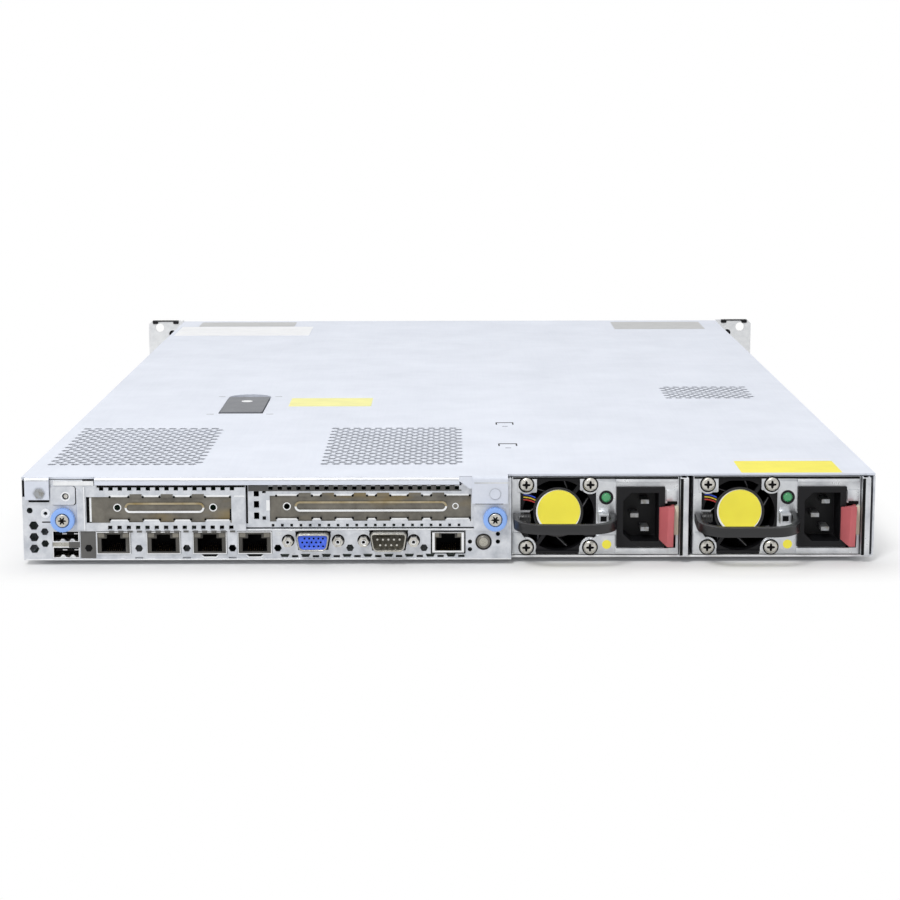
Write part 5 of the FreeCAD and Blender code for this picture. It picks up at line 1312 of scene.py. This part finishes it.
class SERVER_OT_slot_trim(bpy.types.Operator):
    """Edges of the slot windows, beads and holes of the slot covers, and the tabs and bends around them"""
    bl_idname = "server.slot_trim"
    bl_label = "Slot trim"

    def execute(self, context):
        low_first, low_last = span(34.4, 104.4)
        tall_first = LEFT + 123.3
        tall_last = limits("slot_covers")[1].x - 1.4
        low_notches = [low_first + step for step in (22.4, 37.9, 53.4)]
        tall_notches = [tall_first + 17.6 + pair * 27.5 + step for pair in range(3) for step in (0, 11.6)]
        self.window_edges("low", (low_first + 9.5, low_last), low_notches, LOW_FACE)
        self.window_edges("tall", (tall_first + 3.3, tall_last), tall_notches, TALL_FACE)
        self.bead("low", (low_first + 16.7, low_last - 13.5), LOW_FACE + 0.4)
        self.bead("tall", (tall_first + 12.4, tall_last - 12.0), TALL_FACE + 0.4)
        self.hole_rim_highlights("low", (low_first + 13.0, low_last - 9.2), LOW_FACE + 1.0)
        self.hole_rim_highlights("tall", (tall_first + 8.5,), TALL_FACE + 1.0)
        self.plug(tall_last - 7.8, TALL_FACE + 1.0)
        self.riser_tab()
        self.cover_tabs()
        self.cover_bend_highlights()
        self.cage_shadow()
        # Painted shade: a black strip behind the slit beside the low window
        bm = bmesh.new()
        slit = rectangle((LEFT + 31.9, low_first + 0.4), (18.6, 33.0))
        block(bm, slit, behind(REAR + 0.9), FORWARD * 0.3)
        new_piece("slit_shadow", bm, [liner_and_painted_shadow])
        return {"FINISHED"}

    def window_edges(self, name, window, notches, y):
        """Lower lips and painted highlights on the edges between the notches, dark relief dots of painted shade at
        their ends, tabs in the notches
        """
        half = 3.6
        top = 32.4
        lip = 20.95
        foot = lip - 1.4
        stops = [window[0]]
        for middle in notches:
            stops += [middle - half, middle + half]
        stops.append(window[1] - 0.6)
        lips = []
        edges = []
        dots = []
        for across in zip(stops[::2], stops[1::2]):
            lips.append((rectangle(across, (foot, lip)), y, 0.15))
            # Painted highlights along the lower and upper edges of the window
            edges.append((rectangle(across, (lip - 0.75, lip)), y, 0.3))
            edges.append((rectangle(across, (top, top + 0.85)), y, 0.3))
            dots += [(lobed(x, z, 0.6, points=12), y - 0.25, 0.12) for z in (lip, top) for x in across]
        lips.append((rectangle((stops[0], stops[-1]), (18.3, foot)), y, 0.15))
        tabs = []
        for middle in notches:
            across = (middle - half + 0.6, middle + half - 0.6)
            tabs.append((rectangle(across, (top - 0.4, top + 1.4)), y, 0.15))
        plates(f"{name}_window_lips", zinc_steel, lips)
        plates(f"{name}_window_edges", burnished_and_painted_highlight, edges)
        plates(f"{name}_window_relief_shadows", liner_and_painted_shadow, dots)
        plates(f"{name}_window_tabs", slot_cover_steel, tabs)

    def bead(self, name, across, y):
        """Crown of a pressed bead: a painted highlight below, tan above"""
        radius = 2.6
        crown = 1.0
        bm = bmesh.new()
        inner = capsule((across[0] + crown, across[1] - crown), SLOT_LINE, radius - crown)
        ring(bm, capsule(across, SLOT_LINE, radius), inner, behind(y), REARWARD * 0.2)
        # Painted highlight on the lower half of the crown; the upper half is tan
        for face in bm.faces:
            face.material_index = 0 if face.calc_center_median().z < SLOT_LINE else 1
        new_piece(f"{name}_bead", bm, [burnished_and_painted_highlight, tan_steel])

    def hole_rim_highlights(self, name, places, y):
        """Painted highlight around the round holes of a slot cover"""
        bm = bmesh.new()
        for x in places:
            washer(bm, x, SLOT_LINE, y, REARWARD * 0.2, outer=2.0, inner=1.5)
        new_piece(f"{name}_hole_rim_highlights", bm, [burnished_and_painted_highlight])

    def plug(self, x, y):
        """Rivet that closes the right hole of the tall cover, in a ring of painted highlight"""
        plates("tall_plug", slot_cover_steel, [(lobed(x, SLOT_LINE, 1.7), y + 0.2, 0.3)])
        bm = bmesh.new()
        washer(bm, x, SLOT_LINE, y, REARWARD * 0.25, outer=1.6, inner=1.1)
        new_piece("tall_plug_rim_highlight", bm, [burnished_and_painted_highlight])

    def riser_tab(self):
        """Pin of the riser's tab in a ring of painted highlight, and painted highlights on the folded edges of the
        cage
        """
        pin_x = LEFT + 22.0
        pin_z = 32.9
        tab_fold = rectangle(span(30.9, 31.5), (15.6, 37.6))
        top_fold = rectangle(span(16.0, 36.0), (38.3, 40.4))
        slit_edge = rectangle(span(33.5, 34.5), (19.6, 32.0))
        low_window_end = rectangle(span(105.8, 111.0), (31.2, 33.0))
        tall_window_start = rectangle(span(121.6, 123.4), (24.9, 30.1))
        bm = bmesh.new()
        washer(bm, pin_x, pin_z, REAR - 2.0, REARWARD * 0.25, outer=2.4, inner=1.7)
        add_plates(bm, [
            (tab_fold, REAR - 1.8, 0.15),
            (top_fold, REAR + 0.2, 1.6),
            (slit_edge, REAR + 0.4, 0.5),
            (low_window_end, LOW_FACE, 0.3),
            (tall_window_start, TALL_FACE, 0.3),
        ])
        new_piece("riser_edge_highlights", bm, [burnished_and_painted_highlight])
        bm = bmesh.new()
        rod(bm, (pin_x, REAR + 3.0, pin_z), REARWARD, radius=1.15, reach=4.4)
        soften(bm, 0.35)
        new_piece("riser_pin", bm, [nickel_screw])

    def cover_tabs(self):
        """Pressed hexagon on the cover's left tab, dark with painted shade; pressed ring and corner plate at its
        middle tab
        """
        cover_y = limits("access_panel")[0].y
        top = ROOF - 0.05
        bm = bmesh.new()
        hexagon = lobed(LEFT + 9.0, 34.6, 2.75, points=6)
        mark = block(bm, hexagon, behind(cover_y), REARWARD * 0.15)
        sink(bm, mark, rim=1.6, vector=FORWARD * 0.1)
        new_piece("pressed_hexagon", bm, [pressed_steel_painted_shade], "access_panel")
        bm = bmesh.new()
        washer(bm, 22.8, 33.8, cover_y, REARWARD * FILM, outer=2.5, inner=1.9)
        corner = [(4.9, 40.4), (10.0, 36.6), (11.3, 36.6), (11.3, top), (4.9, top)]
        block(bm, corner, behind(cover_y + 1.2), REARWARD * 1.0)
        new_piece("cover_corner", bm, [cover_steel], "access_panel")

    def cover_bend_highlights(self):
        """Painted highlight along the bend of the cover's rear edge and at the root of its middle tab"""
        flange_y = limits("access_panel")[0].y + 0.4
        profile = [(-0.06, 40.7), (1.3, 40.7), (1.3, 42.2), (0.6, 42.2), (0.27, 41.9), (0.03, 41.5),
                   (-0.06, 41.0)]
        bend = [(flange_y + u, v) for u, v in profile]
        bm = bmesh.new()
        for first, last in ((LEFT + 36.8, 5.8), span(2.0, 13.7)):
            block(bm, bend, beside(first), RIGHTWARD * (last - first))
        tab_root = rectangle((12.4, 29.8), (39.0, 39.8))
        block(bm, tab_root, behind(flange_y + 0.3), REARWARD * 0.36)
        new_piece("cover_bend_highlights", bm, [bright_steel], "access_panel")

    def cage_shadow(self):
        """Painted shadow under the cover's edge: a dark line, and a dark strip between the holes below it; small
        fingers over the sockets
        """
        spine = LEFT + 110.5
        strip = (spine + 2.2, 6.0)
        low_shadow_line = rectangle(span(37.5, 111.3), (37.2, 38.15))
        tall_shadow_line = rectangle(strip, (37.5, 38.15))
        plates("cage_shadow_line", liner_and_painted_shadow, [(low_shadow_line, LOW_FACE, FILM), (tall_shadow_line, TALL_FACE, FILM)])
        shadow_strip = [(rectangle(strip, (34.7, 35.3)), TALL_FACE, FILM)]
        half_hole = 1.1
        first, end = strip
        hole = spine + 11.0 + HOLE_PITCH / 2
        while hole < end:
            shadow_strip.append((rectangle((first, hole - half_hole), (35.3, 37.5)), TALL_FACE, FILM))
            first = hole + half_hole
            hole += HOLE_PITCH
        plates("cage_shadow", dark_film_and_painted_shadow, shadow_strip)
        half_finger = 1.3
        fingers = []
        for step in range(14):
            x = LEFT + 41.4 + (step + 0.5) * HOLE_PITCH + 0.6
            fingers.append((rectangle((x - half_finger, x + half_finger), (14.3, 15.3)), LOW_FACE, 0.15))
        plates("cage_fingers", dark_film_and_painted_shadow, fingers)


class SERVER_OT_fan_rotors(bpy.types.Operator):
    """Fan rotors with twisted blades"""
    bl_idname = "server.fan_rotors"
    bl_label = "Fan rotors"

    def execute(self, context):
        for node in [f"fan_rotor_{number}" for number in FANS] + per_supply("rotor"):
            self.rotor(node)
        return {"FINISHED"}

    def rotor(self, node):
        """Hub with blades, and a painted highlight line along the front edge of each blade"""
        low, high = limits(node)
        middle = (low + high) / 2
        tip = (high.z - low.z) / 2
        hub = 10.4
        blades = 7
        turns = [Matrix.Rotation(2 * math.pi * step / blades, 3, "Y") for step in range(blades)]
        sweep = Matrix.Rotation(math.radians(-28), 3, "Y") @ RIGHTWARD
        bm = self.blades(low, high, hub, sweep, turns)
        rod(bm, (middle.x, low.y, middle.z), FORWARD, hub, high.y - low.y, segments=48)
        front = Vector((middle.x, low.y + 1.0, middle.z))
        for turn in turns:
            start = front + turn @ RIGHTWARD * hub
            edge = front + turn @ sweep * (tip - 0.4) - start
            for vert in rod(bm, start, edge.normalized(), radius=0.28, reach=edge.length, segments=6):
                for face in vert.link_faces:
                    face.material_index = 1
        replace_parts(new_piece(f"{node}_blades", bm, [black_abs, painted_blade_highlight], node, smooth_angle=50.0), node)

    def blades(self, low, high, hub, sweep, turns):
        """One blade spun from a swept edge and copied around the hub, kept inside the rotor's box"""
        middle = (low + high) / 2
        tip = (high.z - low.z) / 2
        steps = 10
        advance = FORWARD * (high.y - low.y - 3.0) / steps
        bm = bmesh.new()
        root = bm.verts.new((middle.x + hub - 0.5, low.y + 1.5, middle.z))
        end = bm.verts.new(Vector((middle.x, low.y + 0.8, middle.z)) + sweep * tip)
        bmesh.ops.subdivide_edges(bm, edges=[bm.edges.new((root, end))], cuts=3)
        bmesh.ops.spin(bm, geom=bm.verts[:] + bm.edges[:], cent=middle, axis=FORWARD, dvec=advance,
                       angle=math.radians(52), steps=steps)
        blade = bm.verts[:] + bm.edges[:] + bm.faces[:]
        for turn in turns[1:]:
            copy = bmesh.ops.duplicate(bm, geom=blade)["geom"]
            bmesh.ops.rotate(bm, cent=middle, matrix=turn, verts=verts_of(copy))
        bmesh.ops.recalc_face_normals(bm, faces=bm.faces)
        bmesh.ops.solidify(bm, geom=bm.faces[:], thickness=size("blade"))
        for vert in bm.verts:
            away = Vector((vert.co.x - middle.x, 0, vert.co.z - middle.z))
            if away.length > tip:
                vert.co -= away * (1 - tip / away.length)
            vert.co.y = min(max(vert.co.y, low.y), high.y)
        return bm


class SERVER_OT_supply_fans(bpy.types.Operator):
    """Hub discs, rings, wires and screws of the supply fans"""
    bl_idname = "server.supply_fans"
    bl_label = "Supply fans"

    def execute(self, context):
        for number in SUPPLIES:
            body = f"psu_{number}"
            low, high = limits(f"{body}_fan")
            x, z = centre(low, high)
            self.hub(body, x, z + 1.7, low.y)
            self.wires(body, x, z, low.y)
            self.screws(body, x, z)
        return {"FINISHED"}

    def hub(self, body, x, z, y):
        """Yellow disc on a white edge, inside the motor's black ring"""
        points = 64
        bm = bmesh.new()
        washer(bm, x, z, y + 1.0, REARWARD * 1.6, outer=12.7, inner=11.5, points=points)
        soften(bm, 0.35)
        new_piece(f"{body}_motor_ring", bm, [handle_nylon], body)
        rim = lobed(x + 0.1, z + 0.2, size("rim_radius"), points=points)
        plates(f"{body}_disc_rim", white_paper, [(rim, y, 0.12)], body)
        disc = lobed(x + 0.4, z + 0.5, size("disc_radius"), points=points)
        plates(f"{body}_disc", yellow_disc_vinyl, [(disc, y - 0.12, FILM)], body)

    def wires(self, body, x, z, y):
        """Three short wires that arch from the frame to the motor"""
        arch = UPWARD * 12.0
        segments = 10
        wires = (("blue", blue_wire, 10.6), ("yellow", yellow_wire, 9.3), ("red", red_wire, 8.0))
        for name, recipe, rise in wires:
            bm = bmesh.new()
            start = Vector((x - 17.4, y + 0.2, z + rise))
            turn = Matrix.Translation(start) @ Matrix.Rotation(math.pi / 2, 4, "Y")
            end = bmesh.ops.create_circle(bm, cap_ends=False, segments=segments, radius=size("wire_radius"),
                                          matrix=turn)
            bmesh.ops.spin(bm, geom=end["verts"] + bm.edges[:], cent=start - arch, axis=FORWARD,
                           angle=math.radians(30), steps=10)
            bmesh.ops.holes_fill(bm, edges=bm.edges[:], sides=segments)
            new_piece(f"{body}_wire_{name}", bm, [recipe], body)

    def screws(self, body, x, z):
        """Pan-head screws with a cross recess dark with painted shade, in rings of painted shadow"""
        apart = 16.0
        corners = [(x + across, z + up) for across in (-apart, apart) for up in (-apart, apart)]
        head_y = limits(f"{body}_screws")[0].y
        bm = bmesh.new()
        for corner in corners:
            screw_head(bm, *corner, radius=3.5, y=head_y, reach=1.9, key=1.9, lobes=4, crown=1.0)
        heads = new_piece(f"{body}_screw_heads", bm, [nickel_screw, liner_and_painted_shadow], body)
        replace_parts(heads, f"{body}_screws")
        # Painted shadow: a dark ring round each screw head
        plate_y = limits(f"{body}_case")[0].y - 1.7
        bm = bmesh.new()
        for corner in corners:
            washer(bm, *corner, plate_y, REARWARD * 0.15, outer=4.0, inner=3.2)
        new_piece(f"{body}_screw_seats", bm, [liner_and_painted_shadow], body)


class SERVER_OT_supply_faces(bpy.types.Operator):
    """Bracket plates, ledges, latches with their guides and lamps of the supply faces, and painted shadow on the
    posts beside them
    """
    bl_idname = "server.supply_faces"
    bl_label = "Supply faces"

    def execute(self, context):
        for number in SUPPLIES:
            body = f"psu_{number}"
            low, high = limits(f"{body}_case")
            face_y = low.y - 1.0
            self.brackets(body, low.x, face_y)
            self.ledges(body, low, high, face_y)
            guide = rectangle((high.x - 2.5, high.x - 0.2), (11.6, 26.4))
            plates(f"{body}_guide", cream_plastic, [(guide, face_y, 2.0)], body, edge=0.3)
            self.latch(f"{body}_latch", high.x - 2.8, face_y + 2.0)
            self.lamp(body)
            self.shadow_strip(body, high.x)
        return {"FINISHED"}

    def brackets(self, body, left, y):
        """Plates under the screws and the lamp, black bars of the fan frame between them, and a yellow dot"""
        thickness = 0.7
        corner = 0.7
        upper_left = rectangle((2.6, 12.5), (33.1, 40.8))
        upper_right = rectangle((34.0, 43.0), (34.1, 40.8))
        lamp_plate = rectangle((42.8, 52.2), (23.2, 38.8))
        lower_left = [(0.3, 1.6), (11.9, 1.6), (11.9, 7.6), (7.0, 9.2), (4.4, 12.8), (0.3, 12.8)]
        lower_right = [(33.8, 1.6), (52.2, 1.6), (52.2, 11.4), (43.0, 11.4), (40.2, 9.4), (35.2, 8.2),
                       (33.8, 5.2)]
        outlines = (upper_left, upper_right, lamp_plate, lower_left, lower_right)
        patches = [([(left + u, v) for u, v in outline], y, thickness, corner) for outline in outlines]
        plates(f"{body}_brackets", bright_steel, patches, body, edge=0.2)
        upper_bar = rectangle((left + 12.7, left + 33.8), (39.0, 40.9))
        lower_bar = rectangle((left + 12.1, left + 33.6), (1.5, 3.3))
        bars = [(upper_bar, y, 0.3), (lower_bar, y, 0.3)]
        plates(f"{body}_fan_edges", black_abs, bars, body, edge=0.15)
        dot = lobed(left + 47.6, 6.6, 2.3)
        plates(f"{body}_dot", yellow_disc_vinyl, [(dot, y - thickness, FILM)], body)

    def ledges(self, body, low, high, y):
        """Folded ledges above and below the inlet, the step beside it, and painted shadow in the gaps next to them
        """
        inlet_low, inlet_high = limits(f"{body}_inlet")
        first = inlet_low.x - 0.6
        last = high.x - 0.6
        upper_ledge = rectangle((first, last), (high.z - 2.6, high.z - 1.0))
        side_step = rectangle((inlet_high.x + 0.5, last), (28.6, 34.4))
        lower_ledge = rectangle((first, high.x - 5.2), (low.z + 0.2, inlet_low.z - 0.5))
        ledges = [(upper_ledge, y, 1.6), (side_step, y, 0.6), (lower_ledge, y, 1.2)]
        plates(f"{body}_ledges", bright_steel, ledges, body, edge=0.35)
        # Painted shadow: dark strips over the latch and under the roof
        over_latch = rectangle((high.x - 5.8, high.x - 0.7), (26.9, 28.4))
        under_roof = rectangle((low.x + 0.5, high.x - 0.5), (high.z - 0.95, high.z - 0.05))
        gaps = [(over_latch, y, 0.3, 0.3), (under_roof, y, 0.8)]
        plates(f"{body}_shadow_gaps", liner_and_painted_shadow, gaps, body)

    def latch(self, node, right, root_y):
        """Release latch; the grip behind its root is narrowed and has its corners cut"""
        low, high = limits(node)
        bm = node_copy(node)
        for vert in bm.verts:
            if vert.co.y > root_y:
                continue
            vert.co.x = min(vert.co.x, right)
            is_low = vert.co.z < (low.z + high.z) / 2
            if vert.co.x < low.x + 0.1:
                vert.co.z += 4.4 if is_low else -0.8
            elif is_low:
                vert.co.z += 1.4
                vert.co.x -= 0.6
        bmesh.ops.remove_doubles(bm, verts=bm.verts, dist=0.001)
        soften(bm, 0.45, angle=25.0, segments=3)
        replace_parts(new_piece(f"{node}_grip", bm, [release_plastic], node), node)

    def lamp(self, body):
        """Green lens in a black ring"""
        node = f"{body}_lamp"
        bm = node_copy(node)
        for group in islands(bm):
            is_ring = breadth(group) > 6.0
            for face in group:
                face.material_index = 1 if is_ring else 0
        soften(bm, 0.3, angle=60.0, segments=3)
        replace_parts(new_piece(f"{node}_dressed", bm, [lamp_lens, black_abs], body), node)

    def shadow_strip(self, body, right):
        """Dark strip of painted shadow on the post beside a supply"""
        post_y = limits("psu_bay_frame")[0].y
        strip = rectangle((right + 0.45, right + 1.9), (1.6, 40.6))
        plates(f"{body}_gasket", liner_and_painted_shadow, [(strip, post_y, 0.3, 0.3)])


class SERVER_OT_supply_handles(bpy.types.Operator):
    """Loop handles with a grooved strap and ribbed hinge barrels"""
    bl_idname = "server.supply_handles"
    bl_label = "Supply handles"

    def execute(self, context):
        for number in SUPPLIES:
            body = f"psu_{number}"
            pivot = joint_place(f"{body}_handle_swing")
            self.strap(f"{body}_handle", pivot, HANDLE_SAG[number])
            self.sleeve(body, pivot)
            self.hinge_block(body, pivot)
        return {"FINISHED"}

    def strap(self, node, pivot, sag):
        """Strap with a groove along its outside, turned down about its pivots by the sag"""
        low, high = limits(node)
        middle = Vector(((low.x + high.x) / 2, pivot.y, pivot.z))
        bm = node_copy(node)
        outer = []
        for face in bm.faces:
            away = face.calc_center_median() - middle
            if abs(face.normal.z) < 0.3 and face.normal.dot(away) > 2.0 and away.y < -2.0:
                outer.append(face)
        bmesh.ops.inset_region(bm, faces=outer, thickness=0.9, depth=-0.45, use_even_offset=True,
                               use_boundary=True)
        soften(bm, 0.45, angle=50.0, segments=3)
        # A little shorter than in the CAD model, then turned
        bmesh.ops.scale(bm, vec=(1.0, 0.98, 1.0), space=Matrix.Translation(-pivot), verts=bm.verts)
        bmesh.ops.rotate(bm, cent=pivot, matrix=Matrix.Rotation(sag, 3, "X"), verts=bm.verts)
        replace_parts(new_piece(f"{node}_strap", bm, [handle_nylon], node), node)

    def sleeve(self, body, pivot):
        """Ribbed black sleeve on the left barrel"""
        start = limits(f"{body}_handle")[0].x + HINGE_INSET
        reach = 5.2
        radius = 2.5
        rib_pitch = 1.3
        bm = bmesh.new()
        rod(bm, (start, pivot.y, pivot.z), RIGHTWARD, radius, reach)
        foot = rectangle((start, start + reach), (pivot.z - radius, pivot.z + radius))
        block(bm, foot, behind(HINGE_ROOT), REARWARD * (HINGE_ROOT - pivot.y))
        for step in range(4):
            rib_x = start + 0.15 + rib_pitch * step
            rod(bm, (rib_x, pivot.y, pivot.z), RIGHTWARD, radius + 0.3, size("rib"))
        soften(bm, 0.15)
        new_piece(f"{body}_sleeve", bm, [handle_nylon], body)

    def hinge_block(self, body, pivot):
        """Plated block with a slot on the right barrel, the slot's floor dark with painted shade"""
        right = limits(f"{body}_handle")[1].x
        half = 2.6
        bm = bmesh.new()
        foot = rectangle((right - 8.9, right - HINGE_INSET), (pivot.z - half, pivot.z + half))
        end = block(bm, foot, behind(HINGE_ROOT), REARWARD * (HINGE_ROOT + 3.4 - pivot.y))
        slot = sink(bm, end, rim=1.2, vector=FORWARD * 0.9)
        slot.material_index = 1
        soften(bm, 0.2)
        new_piece(f"{body}_hinge_block", bm, [bright_steel, liner_and_painted_shadow], body)


class SERVER_OT_stage(bpy.types.Operator):
    """White studio with soft light, and the camera at the photograph's place"""
    bl_idname = "server.stage"
    bl_label = "Studio"

    def execute(self, context):
        self.world(context.scene)
        self.floor(context.scene)
        self.lamp(context.scene, "top_softbox", (-0.15, 0.45, 1.6), across=1.0, power=6.8)
        self.lamp(context.scene, "rear_softbox", (-0.4, -1.5, 1.4), across=0.4, power=17.0)
        self.camera(context.scene)
        context.scene.view_settings.view_transform = "Standard"
        return {"FINISHED"}

    def world(self, scene):
        """Soft light from all round, which the camera, metal and glass see as white"""
        scene.world = bpy.data.worlds.new("white_studio")
        scene.world.use_nodes = True
        tree = scene.world.node_tree
        tree.nodes.clear()
        path = add_node(tree, "ShaderNodeLightPath").outputs
        seen = add_node(tree, "ShaderNodeMath", {0: path["Is Camera Ray"], 1: path["Is Glossy Ray"]},
                        operation="MAXIMUM")
        seen = add_node(tree, "ShaderNodeMath", {0: seen.outputs[0], 1: path["Is Transmission Ray"]},
                        operation="MAXIMUM")
        strength = add_node(tree, "ShaderNodeMapRange",
                            {"Value": seen.outputs[0], "To Min": 0.42, "To Max": 1.0})
        sky = add_node(tree, "ShaderNodeBackground", {"Color": WHITE, "Strength": strength.outputs[0]})
        add_node(tree, "ShaderNodeOutputWorld", {"Surface": sky.outputs[0]})

    def floor(self, scene):
        """Paper sweep a little below the server, so that its lower edge keeps a soft shadow"""
        drop = Matrix.Translation((0, 0, -2.5 * MM))
        mesh = bpy.data.meshes.new("studio_floor")
        bm = bmesh.new()
        bmesh.ops.create_grid(bm, x_segments=1, y_segments=1, size=6.0, matrix=drop)
        bm.to_mesh(mesh)
        bm.free()
        mesh.materials.append(finish(studio_floor))
        floor = bpy.data.objects.new("studio_floor", mesh)
        scene.collection.objects.link(floor)

    def lamp(self, scene, name, place, across, power):
        """Square soft lamp that points at the origin"""
        light = bpy.data.lights.new(name, "AREA")
        light.size = across
        light.energy = power
        lamp = bpy.data.objects.new(name, light)
        lamp.location = place
        lamp.rotation_euler = (-Vector(place)).to_track_quat("-Z", "Y").to_euler()
        scene.collection.objects.link(lamp)

    def camera(self, scene):
        """Camera behind and above the server, as fitted to the photograph with the ears at rack width"""
        camera = bpy.data.objects.new("photo_camera", bpy.data.cameras.new("photo_camera"))
        camera.data.sensor_width = 36.0
        camera.data.lens = 89.226
        place = Matrix.Translation((0.00092, -1.43697, 0.24304))
        swing = Matrix.Rotation(math.radians(0.0307), 4, "Z")
        tilt = Matrix.Rotation(math.radians(90.0 - 9.739), 4, "X")
        roll = Matrix.Rotation(math.radians(-0.1255), 4, "Z")
        camera.matrix_world = place @ swing @ tilt @ roll
        scene.collection.objects.link(camera)
        scene.camera = camera


STEPS = [
    SERVER_OT_sheet_metal, SERVER_OT_plastics, SERVER_OT_inner_parts, SERVER_OT_drives, SERVER_OT_front_panel,
    SERVER_OT_labels, SERVER_OT_thumbscrews, SERVER_OT_network_sockets, SERVER_OT_usb_ports,
    SERVER_OT_d_connectors, SERVER_OT_panel_trim, SERVER_OT_slot_trim, SERVER_OT_fan_rotors,
    SERVER_OT_supply_fans, SERVER_OT_supply_faces, SERVER_OT_supply_handles, SERVER_OT_stage,
]


class SERVER_PT_looks(bpy.types.Panel):
    """Steps that dress the server"""
    bl_idname = "SERVER_PT_looks"
    bl_label = "Rack server"
    bl_space_type = "VIEW_3D"
    bl_region_type = "UI"
    bl_category = "Server"

    def draw(self, context):
        for step in STEPS:
            self.layout.operator(step.bl_idname)


CLASSES = [ServerColours, ServerSizes] + STEPS + [SERVER_PT_looks]


def register():
    """Add the classes and the scene's settings."""
    for kind in CLASSES:
        bpy.utils.register_class(kind)
    bpy.types.Scene.server_colours = bpy.props.PointerProperty(type=ServerColours)
    bpy.types.Scene.server_sizes = bpy.props.PointerProperty(type=ServerSizes)


def unregister():
    """Remove the scene's settings and the classes."""
    del bpy.types.Scene.server_sizes
    del bpy.types.Scene.server_colours
    for kind in reversed(CLASSES):
        bpy.utils.unregister_class(kind)


def main():
    """Dress the server in order."""
    register()
    for step in STEPS:
        group, name = step.bl_idname.split(".")
        getattr(getattr(bpy.ops, group), name)()


if __name__ == "__main__":
    main()
